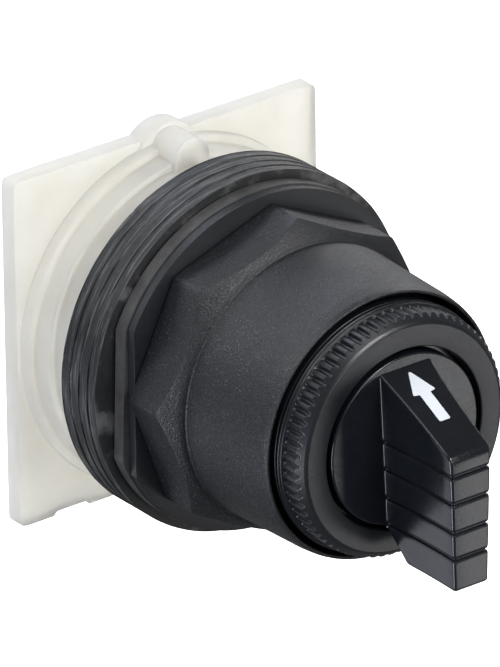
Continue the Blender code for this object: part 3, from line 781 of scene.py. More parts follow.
class Finishes:
    """Every material of the head, made once."""

    def __init__(self) -> None:
        """Build the materials."""
        self.nylon = NaturalNylon().make()
        self.filled = GlassFilledNylon().make()
        self.rubber = CutRubber().make()
        self.gloss = KNOB_GLOSS.make()
        self.satin = SATIN_BLACK.make()
        self.washer = WASHER_BLACK.make()
        self.fibre = PRESSED_FIBRE.make()
        self.enamel = WHITE_ENAMEL.make()
        self.acetal = ACETAL.make()
        self.steel = ZINC_STEEL.make()
        self.brass = BRASS.make()


def dress(obj: bpy.types.Object, material: bpy.types.Material) -> bpy.types.Object:
    """Give a piece its only material."""
    obj.data.materials.clear()
    obj.data.materials.append(material)
    return obj


def settle(obj: bpy.types.Object, material: bpy.types.Material, body: Body, slot: str, *nodes: str) -> None:
    """Dress a piece, let it ride on its body and stand for its CAD nodes.

    Args:
        obj: the piece.
        material: its finish.
        body: the body that it moves with.
        slot: the record's material slot; not used.
        nodes: the CAD nodes it replaces.
    """
    dress(obj, material)
    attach(obj, body.value)
    if nodes:
        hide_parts(*nodes)
    LOG.info("%s: %d faces, rides on %s", obj.name, len(obj.data.polygons), body.value)


# ---------------------------------------------------------------------------------------------
# Sub-assemblies


@dataclass
class MountingBase:
    """Square natural-nylon plate with its stepped collar, ear, key and screw inserts."""

    width: float = 43.0
    height: float = 43.4
    thickness: float = 2.44
    corner: float = 0.35
    bore: float = 11.5
    recess: float = 15.65
    recess_depth: float = 3.9
    flange_seat: float = 17.2
    flange_back: float = 8.0
    ear_radius: float = 4.6
    ear_up: float = 18.55
    key_radius: float = 2.35
    key_up: float = 20.45
    steps: int = 720

    def outline(self, angle: Array) -> Array:
        """Distance from the axis to the plate's edge: the nearer of the two pairs of sides.

        The corners are rounded by a power mean of the four side distances, and the bottom edge
        has a shallow moulding notch.

        Args:
            angle: angles in radians.

        Returns:
            The distances.
        """
        power = 60.0
        x_part = np.abs(np.cos(angle)) / (self.width / 2)
        up_part = np.abs(np.sin(angle)) / (self.height / 2)
        top = np.maximum(x_part, up_part)
        distance = 1.0 / (top * ((x_part / top) ** power + (up_part / top) ** power) ** (1.0 / power))
        x = distance * np.cos(angle)
        in_notch = smooth_step((x + 16.9) / 0.15) * smooth_step((-11.7 - x) / 0.15) * (np.sin(angle) < -0.5)
        return distance * (1.0 - in_notch * 0.5 / (self.height / 2))

    def corner_angles(self) -> Array:
        """Angles round the axis, evenly spread, with extra ones where the corners and notch turn."""
        even = np.linspace(0.0, math.tau, self.steps, endpoint=False)
        corner = math.atan2(self.height, self.width)
        corners = [corner, math.pi - corner, math.pi + corner, -corner]
        near = np.linspace(-1.0, 1.0, 17) ** 3 * math.radians(1.5)
        notch = [math.atan2(-self.height / 2, x) for x in np.linspace(-17.0, -16.6, 5)]
        notch += [math.atan2(-self.height / 2, x) for x in np.linspace(-12.0, -11.6, 5)]
        extra = np.concatenate([c + near for c in corners] + [np.array(notch)])
        return np.unique(np.round(np.mod(np.concatenate([even, extra]), math.tau), 6))

    def body(self) -> bpy.types.Object:
        """The plate and collar as one profile carried round the axis.

        Rows on the plate's rim follow the square outline; all others are circles. The profile
        runs over the front from the seat to the collar's foot, out to the rim, round it, and
        back over the rear to the bore.

        Returns:
            The new object.
        """
        angle = self.corner_angles()
        rim = self.outline(angle)
        seat, foot = SEAT_DEPTH, self.thickness
        front = fillet(
            [
                (self.flange_seat, self.flange_back, 0.0),
                (self.flange_seat, seat, 0.15),
                (19.4, seat, 0.25),
                (19.4, 6.75, 0.25),
                (20.15, 6.7, 0.25),
                (20.35, 4.3, 0.3),
                (21.25, 4.15, 0.3),
                (21.3, foot + 0.35, 0.35),
                (21.05, foot, 0.0),
            ],
            5,
            closed=False,
        )
        edge = self.corner
        turn = np.linspace(0.0, math.pi / 2, 5)
        rim_inset = [edge * 0.5 * (1 - s) for s in np.sin(turn)]
        rim_depth = [foot - edge * 0.5 * (1 - c) for c in np.cos(turn)]
        back = fillet(
            [
                (self.recess, 0.0, 0.2),
                (self.recess, self.recess_depth, 0.2),
                (self.bore, self.recess_depth, 0.2),
                (self.bore, self.flange_back, 0.2),
                (self.flange_seat, self.flange_back, 0.0),
            ],
            4,
            closed=False,
        )
        rows_r, rows_d = [], []
        inner = np.minimum(21.05, rim - 0.2)
        for radius, depth in front:
            rows_r.append(np.minimum(np.full_like(rim, radius), rim - 0.12))
            rows_d.append(np.full_like(rim, depth))
        rows_r.append(inner)
        rows_d.append(np.full_like(rim, foot))
        for inset, depth in zip(rim_inset, rim_depth):
            rows_r.append(rim - inset)
            rows_d.append(np.full_like(rim, depth))
        for inset, depth in zip(rim_inset[::-1], rim_depth[::-1]):
            rows_r.append(rim - inset)
            rows_d.append(np.full_like(rim, foot - depth))
        for radius, depth in back:
            rows_r.append(np.full_like(rim, radius))
            rows_d.append(np.full_like(rim, depth))
        points = revolve(np.array(rows_r), np.array(rows_d), angle)
        return surface("base_moulding", points, 30.0)

    def ear(self) -> bpy.types.Object:
        """Round ear at the top, a turned disc with a soft front edge."""
        front = self.thickness + 0.46
        profile = fillet(
            [(0.0, front, 0.0), (self.ear_radius, front, 0.35), (self.ear_radius, 0.0, 0.1), (0.0, 0.0, 0.0)],
            6,
            closed=False,
        )
        return round_piece("ear", profile, 96, (0.0, self.ear_up), closed=False)

    def key(self) -> bpy.types.Object:
        """Locating key: a round-topped bar that runs forward from the ear."""
        turn = np.linspace(0.0, math.pi, 33)
        top = np.stack([self.key_radius * np.cos(turn), self.key_up + self.key_radius * np.sin(turn)], -1)
        foot = np.array([[-self.key_radius, 15.6], [self.key_radius, 15.6]])
        return extruded("key", np.concatenate([top, foot]), 1.0, self.thickness + 4.96)

    def inserts(self, finishes: Finishes) -> None:
        """Knurled brass sleeves with their inner thread, one above and one below the axis."""
        for name, up in (("top", INSERT_UP), ("bottom", -INSERT_UP)):
            rows = np.linspace(0.35, 5.55, 80)
            angle = np.linspace(0.0, math.tau, 96, endpoint=False)
            band = smooth_step(np.minimum(rows - 0.6, 5.3 - rows) / 0.2)[:, None]
            knurl = 0.05 * np.cos(24 * angle)[None, :] * band
            outer = 1.58 + knurl
            pitch = 0.5
            wave = np.abs(((rows[::-1, None] / pitch - angle[None, :] / math.tau) % 1.0) * 2.0 - 1.0)
            inner = 1.08 + 0.22 * wave
            radius = np.concatenate([outer, inner])
            depth = np.concatenate([rows, rows[::-1]])[:, None]
            points = revolve(radius, depth, angle, (0.0, up))
            sleeve = surface(f"brass_insert_{name}", points, 50.0)
            settle(sleeve, finishes.brass, Body.HOUSING, "brass", f"contact_insert_{name}")

    def build(self, finishes: Finishes) -> None:
        """Make, join and dress the base."""
        base = self.body()
        combine(base, self.ear(), "UNION", 30.0)
        combine(base, self.key(), "UNION", 30.0)
        for up in (INSERT_UP, -INSERT_UP):
            combine(base, rod("insert_hole", 1.85, -1.0, 5.9, (0.0, up)), "DIFFERENCE", 30.0)
        for place in diagonal_places(SCREW_CIRCLE_R):
            combine(base, rod("screw_hole", 1.3, 2.9, 8.9, place), "DIFFERENCE", 30.0)
        settle(base, finishes.nylon, Body.HOUSING, "natural_nylon", "mounting_base")
        self.inserts(finishes)


@dataclass
class Barrel:
    """Threaded barrel that goes through the panel, with the bearing and detent track inside."""

    thread_r: float = 14.9
    pitch: float = 1.5
    thread_depth: float = 0.72
    flange_r: float = 16.9
    back: float = 8.3
    shoulder: float = 41.7
    front: float = 44.2
    cavity_r: float = 11.2
    steps: int = 240
    notch_r: float = 1.75
    notch_circle: float = 10.2
    notch_turn: float = math.radians(45.0)
    notch_span: tuple[float, float] = (21.0, 27.8)
    rib_half: float = 1.5
    rib_inner: float = 9.4
    rib_span: tuple[float, float] = (28.8, 37.0)
    pilot_r: float = 1.15
    pilot_end: float = 13.3

    def detent_track(self, barrel: bpy.types.Object) -> None:
        """Add the stop rib, three detent notches on each side and the screws' pilot holes.

        Args:
            barrel: the barrel's wall.
        """
        low, half = -self.cavity_r - 1.0, self.rib_half
        rib = np.array([(-half, low), (half, low), (half, -self.rib_inner), (-half, -self.rib_inner)])
        combine(barrel, extruded("stop_rib", rib, *self.rib_span), "UNION", 50.0)
        for side in Side:
            for turn in (-self.notch_turn, 0.0, self.notch_turn):
                place = (side.value * self.notch_circle * math.cos(turn), self.notch_circle * math.sin(turn))
                combine(barrel, rod("notch", self.notch_r, *self.notch_span, place), "DIFFERENCE", 50.0)
        for place in diagonal_places(SCREW_CIRCLE_R):
            hole = rod("pilot_hole", self.pilot_r, self.back - 1.0, self.pilot_end, place)
            combine(barrel, hole, "DIFFERENCE", 50.0)

    def build(self, finishes: Finishes) -> None:
        """Make the barrel: plain inside, a helical thread outside.

        A point of the thread sinks by its depth times a rounded triangle wave of
        (depth / pitch - angle / full turn), faded out at both ends.
        """
        angle = np.linspace(0.0, math.tau, self.steps, endpoint=False)
        rows = np.arange(self.back + 3.2, self.shoulder - 0.4, self.pitch / 10)
        phase = (rows[:, None] / self.pitch + angle[None, :] / math.tau) % 1.0
        wave = smooth_step(np.abs(phase * 2.0 - 1.0))
        fade = smooth_step((rows - self.back - 3.2) / 1.0) * smooth_step((self.shoulder - 0.6 - rows) / 1.2)
        thread = self.thread_r - self.thread_depth * wave * fade[:, None]
        full = np.ones_like(angle)
        head = fillet(
            [(self.cavity_r, self.back, 0.1), (self.flange_r, self.back, 0.2),
             (self.flange_r, SEAT_DEPTH, 0.2), (self.thread_r, SEAT_DEPTH, 0.15),
             (self.thread_r, self.back + 3.1, 0.0)],
            4, closed=False,
        )
        tail = fillet(
            [(self.thread_r, self.shoulder - 0.3, 0.0), (self.thread_r, self.shoulder, 0.3),
             (13.4, self.shoulder, 0.1), (13.4, self.front, 0.2), (12.3, self.front, 0.15),
             (12.3, 41.0, 0.1), (8.3, 41.0, 0.2), (8.3, 36.0, 0.2), (self.cavity_r, 36.0, 0.3)],
            4, closed=False,
        )
        radius = np.concatenate([head[:, :1] * full, thread, tail[:, :1] * full])
        depth = np.concatenate([head[:, 1], rows, tail[:, 1]])[:, None]
        points = revolve(radius, depth, angle)
        barrel = surface("threaded_barrel", points, 50.0)
        self.detent_track(barrel)
        settle(barrel, finishes.satin, Body.HOUSING, "satin_black_plastic", "operator_barrel")


@dataclass
class BezelRing:
    """Knurled retaining ring: thin rear flange, axial knurl, chamfer and a flat satin face."""

    flange_r: float = 15.0
    knurl_r: float = 14.62
    tooth_depth: float = 0.34
    teeth: int = 72
    land: float = 0.20
    valley: float = 0.41
    back: float = 42.0
    face: float = 46.0
    hole_r: float = 10.93

    def build(self, finishes: Finishes) -> None:
        """Make the ring: the knurled wall sinks between flat lands, and the chamfer cuts it.

        The wall's radius is the smaller of the chamfer cone and the knurl. Across one tooth,
        with t from -1/2 to 1/2, the knurl is full height while |t| is under land, falls in a
        straight flank, and is flat again at the bottom.
        """
        land, valley = self.land, self.valley
        share = np.array([0.06, land - 0.02, land + 0.02, 0.30, valley - 0.02, valley + 0.02])
        share = np.concatenate([-share[::-1], share, [0.5]])
        tooth = np.arange(self.teeth)[:, None]
        angle = ((tooth + share[None, :]) * math.tau / self.teeth).reshape(-1)
        away = np.abs(np.tile(share, self.teeth))
        groove = self.tooth_depth * np.clip((away - self.land) / (self.valley - self.land), 0.0, 1.0)
        rows = np.concatenate([np.linspace(42.78, 44.5, 12), np.linspace(44.6, 45.7, 16)])
        cone = 13.98 + (45.72 - rows) * 0.85
        knurl = np.minimum(cone[:, None], (self.knurl_r - groove)[None, :])
        lead = smooth_step((rows - 42.78) / 0.12)[:, None]
        wall = (1.0 - lead) * self.knurl_r + lead * knurl
        full = np.ones_like(angle)
        rear = fillet(
            [(13.7, 44.5, 0.1), (13.7, self.back, 0.2), (self.flange_r, self.back, 0.18),
             (self.flange_r, 42.34, 0.14), (14.72, 42.42, 0.08), (14.9, 42.52, 0.08), (14.86, 42.72, 0.1),
             (14.66, 42.76, 0.0)],
            5, closed=False,
        )
        front = fillet(
            [(13.95, 45.76, 0.0), (13.62, self.face, 0.3), (self.hole_r, self.face, 0.2),
             (self.hole_r, 44.5, 0.1), (13.7, 44.5, 0.0)],
            6, closed=False,
        )
        radius = np.concatenate([rear[:, :1] * full, wall, front[:, :1] * full])
        depth = np.concatenate([rear[:, 1], rows, front[:, 1]])[:, None]
        points = revolve(radius, depth, angle)
        ring = surface("knurled_bezel", points, 35.0)
        settle(ring, finishes.satin, Body.HOUSING, "satin_black_plastic", "bezel_ring")


@dataclass
class ClampStack:
    """Four rubber gaskets and two flatted washers on the barrel."""

    bore: float = 15.2
    gasket_r: float = 21.9
    start: float = 11.3
    pitch: float = 1.6
    gap: float = 0.03
    steps: int = 720

    def ring(
        self,
        name: str,
        outer: Array,
        back: float,
        front: float,
        edge: float,
        angle: Array,
        wobble: Array,
        streak: float,
    ) -> bpy.types.Object:
        """A flat ring with softened rims whose outer radius varies with the angle.

        Every row across the rim also has its own slow seeded ripple, which leaves streaks that
        run along the cut.

        Args:
            name: name of the object.
            outer: outer radius at each angle.
            back: depth of its back face.
            front: depth of its front face.
            edge: radius of its rims.
            angle: the angles.
            wobble: forward lift of the rim's front edge at each angle.
            streak: depth of the streaks along the rim.

        Returns:
            The new object.
        """
        rim = [(1.0, depth, 0.0) for depth in np.linspace(front, back, 12)[1:-1]]
        outline = [(0.0, front, 0.0), (1.0, front, edge), *rim, (1.0, back, edge), (0.0, back, 0.0)]
        section = fillet(outline, 4, False)
        on_rim = section[:, 0] > 0.5
        inset = np.where(on_rim, section[:, 0] - 1.0, 0.0)
        seed = int(back * 10)
        rows = np.array([ripple(angle, seed + row, 14, streak, 2) for row in range(len(section))])
        fine = np.where(np.abs(inset) < 1e-6, 1.0, 0.0)[:, None] * (rows - streak)
        radius = np.where(on_rim[:, None], outer[None, :] + inset[:, None] + fine, self.bore)
        lift = np.where(on_rim, (section[:, 1] - back) / (front - back), 0.0)
        depth = section[:, 1:] + lift[:, None] * wobble[None, :]
        points = revolve(radius, depth, angle)
        return surface(name, points, 45.0)

    def gaskets(self, finishes: Finishes) -> None:
        """The four gaskets, each with its own uneven rim and a few moulding nicks."""
        angle = np.linspace(0.0, math.tau, self.steps, endpoint=False)
        for index in range(4):
            back = self.start + index * self.pitch
            front = back + self.pitch - self.gap
            random = np.random.default_rng(40 + index)
            outer = self.gasket_r - 0.05 + ripple(angle, 7 + index, 14, 0.05)
            for place, size in zip(random.uniform(0.0, math.tau, 9), random.uniform(-0.10, 0.07, 9)):
                away = np.abs((angle - place + math.pi) % math.tau - math.pi)
                outer = outer + size * np.exp(-((away / 0.012) ** 2))
            outer = np.minimum(outer, self.gasket_r)
            wobble = -0.05 + ripple(angle, 21 + index, 18, 0.045, 5)
            obj = self.ring(f"rubber_gasket_{index + 1}", outer, back, front, 0.09, angle, wobble, 0.075)
            settle(obj, finishes.rubber, Body.STACK, "black_rubber", f"gasket_{index + 1}")

    def flatted(self, radius: float, flat: float, tilt: float, angle: Array) -> Array:
        """Radius of a disc with two opposite flats: the smaller of the circle and each flat.

        Args:
            radius: the disc's radius.
            flat: distance from the axis to each flat.
            tilt: turn of the flats in radians.
            angle: the angles.

        Returns:
            The radius at each angle.
        """
        reach = flat / np.maximum(np.abs(np.cos(angle - tilt)), 1e-3)
        return np.minimum(radius, reach)

    def washers(self, finishes: Finishes) -> None:
        """The two washers, turned slightly against each other."""
        angle = np.linspace(0.0, math.tau, 1440, endpoint=False)
        still = np.zeros_like(angle)
        rear = self.flatted(20.8, 19.2, math.radians(-1.9), angle)
        obj = self.ring("washer_rear", rear, 17.8, 19.45, 0.06, angle, still, 0.012)
        settle(obj, finishes.fibre, Body.STACK, "black_rubber", "thrust_washer_rear")
        front = self.flatted(20.6, 18.5, 0.0, angle)
        obj = self.ring("washer_front", front, 19.55, 20.65, 0.12, angle, still, 0.008)
        settle(obj, finishes.washer, Body.STACK, "black_rubber", "thrust_washer_front")

    def build(self, finishes: Finishes) -> None:
        """Make and dress the stack."""
        self.gaskets(finishes)
        self.washers(finishes)


@dataclass
class RingNut:
    """Octagonal ring nut with a long tapered skirt, moulded in glass-filled nylon."""

    corner_r: float = 19.4
    sides: int = 8
    turn: float = math.radians(-3.1)
    back: float = 20.75
    flange_front: float = 25.5
    cone_r: float = 17.3
    cone_front: float = 27.6
    rim: float = 41.85
    root_r: float = 16.75
    front_r: float = 16.33
    inner_r: float = 15.65
    bore_r: float = 15.1
    steps: int = 960

    def octagon(self, angle: Array) -> Array:
        """Distance to the octagon: a power mean of the sides' distances, so its corners are soft.

        Args:
            angle: angles in radians.

        Returns:
            The distances.
        """
        apothem = self.corner_r * math.cos(math.pi / self.sides)
        middles = self.turn + (np.arange(self.sides) + 0.5) * math.tau / self.sides
        reach = np.maximum(np.cos(angle[None, :] - middles[:, None]), 0.0)
        power = 160.0
        return apothem / (reach**power).sum(axis=0) ** (1.0 / power)

    def build(self, finishes: Finishes) -> None:
        """Make the nut: for each angle the side face ends where the chamfer cone meets it.

        The cone falls from the corner's radius at the flange's front to a narrow shoulder round
        the skirt's root, so the side at distance r ends at depth front + (corner - r) / slope,
        which draws the curved edges of a chamfered nut.
        """
        angle = np.linspace(0.0, math.tau, self.steps, endpoint=False)
        side = self.octagon(angle)
        slope = (self.corner_r - self.cone_r) / (self.cone_front - self.flange_front)
        edge = self.flange_front + (self.corner_r - side) / slope
        soft = 0.12
        full = np.ones_like(angle)
        rows = [
            (self.bore_r * full, self.back * full),
            (side - soft * 1.5, self.back * full),
            (side - soft * 0.45, (self.back + soft * 0.45) * full),
            (side, (self.back + soft * 1.5) * full),
            (side, self.back + (edge - soft - self.back) * 0.5),
            (side, edge - soft),
            (side - 0.05 * soft, edge - 0.3 * soft),
            (side - 0.35 * soft, edge + 0.15 * soft),
            (side - soft * slope * 0.8, edge + soft * 0.8),
        ]
        for share in (0.35, 0.7):
            rows.append((side + (self.cone_r - side) * share, edge + (self.cone_front - edge) * share))
        root = fillet(
            [(self.cone_r, self.cone_front, 0.0), (self.root_r, self.cone_front + 0.18, 0.25),
             (self.front_r + 0.03, self.rim - 2.2, 1.0), (self.front_r - 0.12, self.rim - 0.75, 1.0),
             (self.inner_r + 0.38, self.rim, 0.5), (self.inner_r, self.rim - 0.15, 0.15),
             (self.inner_r, 30.3, 0.2), (self.bore_r, 30.25, 0.2)],
            7, closed=False,
        )
        for radius, depth in root:
            rows.append((radius * full, depth * full))
        radius = np.array([r for r, _ in rows])
        depth = np.array([d for _, d in rows])
        points = revolve(radius, depth, angle)
        nut = surface("octagon_ring_nut", points, 28.0)
        settle(nut, finishes.filled, Body.NUT, "filled_black_plastic", "ring_nut")


@dataclass
class Knob:
    """Gloss knob: disc with its hidden flange and stem, finger blade with grooves, and the pointer."""

    disc_r: float = 10.3
    face: float = 46.1
    reach: float = 11.9
    head_up: float = 9.0
    ridge_top: float = 2.8
    foot_up: float = -13.8
    foot_depth: float = 49.3
    grooves: tuple[float, ...] = (0.5, -2.9, -6.5, -9.8)
    groove_half: float = 0.1
    groove_deep: float = 0.2
    edge_r: float = 0.35
    crease_r: float = 0.16

    def half_width(self, up: Array, depth: Array) -> Array:
        """Half the blade's width: it narrows to the ridge and to the foot, its sides a little hollow.

        Args:
            up: heights.
            depth: depths, of the same shape.

        Returns:
            The half widths.
        """
        rise = np.clip((depth - self.face) / self.reach, 0.0, 1.0)
        drop = np.clip((self.head_up - up) / (self.head_up - self.foot_up), 0.0, 1.0)
        foot = 3.5 - 1.05 * drop
        ridge = 3.03 - 0.63 * drop
        return foot + (ridge - foot) * rise - 0.16 * 4.0 * rise * (1.0 - rise)

    def stations(self) -> tuple[Array, Array]:
        """Heights along the blade and how far the section draws in at each.

        The heights are even, with clusters at the ridge's top, each groove and the foot. A groove
        draws the section in by a rounded square pulse, and the foot by a quarter circle.

        Returns:
            The heights and the insets.
        """
        even = np.linspace(self.head_up + 0.6, self.foot_up + self.edge_r, 90)
        near = np.concatenate([np.linspace(g - 0.6, g + 0.6, 25) for g in self.grooves])
        crest = np.linspace(self.ridge_top - 0.9, self.ridge_top + 0.9, 19)
        turn = np.linspace(0.0, math.pi / 2, 8)
        foot = self.foot_up + self.edge_r * (1.0 - np.sin(turn))
        up = np.unique(np.round(np.concatenate([even, near, crest, foot]), 5))[::-1]
        inset = np.zeros_like(up)
        for groove in self.grooves:
            away = np.abs(up - groove)
            inset += self.groove_deep * (1.0 - smooth_step((away - self.groove_half * 0.6) / 0.14))
            inset += 0.07 * (1.0 - smooth_step(away / 0.55))
        into_foot = np.clip((self.foot_up + self.edge_r - up) / self.edge_r, 0.0, 1.0)
        inset += self.edge_r * (1.0 - np.sqrt(1.0 - into_foot**2))
        return up, inset

    def blade(self) -> bpy.types.Object:
        """The finger blade: a rounded four-sided section carried down from head to foot.

        The section's top is the slope or the ridge, joined by a smooth bend. Its bottom is buried
        in the disc, or on the slanting underside where the blade overhangs the bezel. Each corner
        is a quarter circle of the edge radius.

        Returns:
            The new object.
        """
        up, inset = self.stations()
        steep = self.reach / (self.head_up - self.ridge_top)
        over = (self.head_up - up) * steep
        bend = 0.8
        top = self.face + 0.5 * (over + self.reach - np.sqrt((over - self.reach) ** 2 + bend**2)) - inset
        top = np.minimum(top, self.face + self.reach - inset)
        under = self.face - 1.0 + np.clip((-9.4 - up) / (-9.4 - self.foot_up), 0.0, 1.0) * (
            self.foot_depth - self.face + 1.0
        )
        bottom = np.where(up > -9.4, self.face - 1.0, under) + np.where(up < -10.4, inset, 0.0)
        top = np.maximum(top, bottom + 0.3)
        r = np.minimum(self.edge_r, 0.45 * (top - bottom))
        quarter = np.linspace(0.0, math.pi / 2, 6)
        creep = np.array([0.0, 0.02, 0.05, 0.09, 0.16])
        wall = np.linspace(0.0, 1.0, 9)[1:-1]
        cos, sin = np.cos(quarter), np.sin(quarter)
        in_x = np.concatenate([1.0 - cos[::-1], np.zeros(12), 1.0 - cos])
        lift = np.concatenate([1.0 - sin[::-1], np.zeros(12), np.zeros(6)])
        low = bottom[:, None] + r[:, None] * lift[None, :6]
        high = top[:, None] - r[:, None] * (1.0 - sin)[None, :]
        near_disc = np.clip(self.face + creep[None, :], (bottom + r)[:, None], (top - r - 0.3)[:, None])
        start = np.maximum(near_disc[:, -1:], (bottom + r)[:, None])
        side = np.concatenate([near_disc, start + ((top - r)[:, None] - start) * wall[None, :]], axis=1)
        depth = np.concatenate([low, side, high], axis=1)
        half = self.half_width(np.broadcast_to(up[:, None], depth.shape), depth) - inset[:, None]
        climb = np.clip((depth - self.face) / self.crease_r, 0.0, 1.0)
        half = half + self.crease_r * (1.0 - np.sqrt(1.0 - (1.0 - climb) ** 2))
        x = half - r[:, None] * in_x[None, :]
        loop_x = np.concatenate([x, -x[:, ::-1]], axis=1)
        loop_d = np.concatenate([depth, depth[:, ::-1]], axis=1)
        loop_u = np.broadcast_to(up[:, None], loop_x.shape)
        body = np.stack([loop_x, loop_u, loop_d], axis=-1)
        middle = body.mean(axis=1, keepdims=True)
        first = np.repeat(middle[:1], body.shape[1], axis=1)
        last = np.repeat(middle[-1:], body.shape[1], axis=1)
        points = np.concatenate([first, body, last])
        return surface("knob_blade", points, 42.0, closed=False)

    def disc(self) -> bpy.types.Object:
        """Turned disc, flange and stem, with the seal's groove."""
        profile = fillet(
            [(0.0, self.face, 0.0), (self.disc_r, self.face, 0.22), (self.disc_r, 44.2, 0.1),
             (12.0, 44.2, 0.2), (12.0, 41.3, 0.2), (8.0, 41.3, 0.2), (8.0, 40.0, 0.1),
             (6.9, 40.0, 0.1), (6.9, 38.2, 0.1), (8.0, 38.2, 0.1), (8.0, 35.9, 0.3), (0.0, 35.9, 0.0)],
            6, closed=False,
        )
        return round_piece("knob_disc", profile, 256, closed=False)

    def drive(self) -> bpy.types.Object:
        """Square shank behind the stem, with soft edges, that turns the rotor."""
        outline = fillet([(4.5, 4.5, 0.5), (-4.5, 4.5, 0.5), (-4.5, -4.5, 0.5), (4.5, -4.5, 0.5)], 6)
        return extruded("knob_drive", outline, 28.7, 36.5)

    def arrow(self) -> bpy.types.Object:
        """Pointer arrow, filled flush into the sloping face and proud by a coat of enamel.

        The outline lies in the slope's plane, measured from the ridge's top towards the foot of
        the slope, and is then turned about x on to the slope.

        Returns:
            The new object.
        """
        outline = fillet(
            [(0.0, 12.8, 0.22), (-1.55, 9.4, 0.12), (-0.75, 9.25, 0.05), (-0.75, 5.2, 0.22),
             (0.75, 5.2, 0.22), (0.75, 9.25, 0.05), (1.55, 9.4, 0.12)],
            6,
        )
        slope = math.atan2(self.reach, self.head_up - self.ridge_top)
        count = len(outline)
        middle = np.array([[0.0, 9.6]])
        loops = [np.repeat(middle, count, 0), outline, outline, np.repeat(middle, count, 0)]
        heights = [-0.3, -0.3, 0.03, 0.03]
        flat = np.concatenate([np.column_stack([p, np.full(count, h)]) for p, h in zip(loops, heights)])
        cos, sin = math.cos(slope), math.sin(slope)
        up = self.ridge_top + flat[:, 1] * cos + flat[:, 2] * sin
        depth = self.face + self.reach - flat[:, 1] * sin + flat[:, 2] * cos
        points = np.column_stack([flat[:, 0], up, depth])
        return mesh_from("pointer_arrow", points, grid_faces(4, count, False, True), 30.0)

    def build(self, finishes: Finishes) -> None:
        """Make and dress the knob's pieces."""
        settle(self.disc(), finishes.gloss, Body.KNOB, "gloss_black_plastic", "knob")
        settle(self.blade(), finishes.gloss, Body.KNOB, "gloss_black_plastic")
        settle(self.drive(), finishes.gloss, Body.KNOB, "gloss_black_plastic")
        settle(self.arrow(), finishes.enamel, Body.KNOB, "white_enamel", "arrow_inlay")


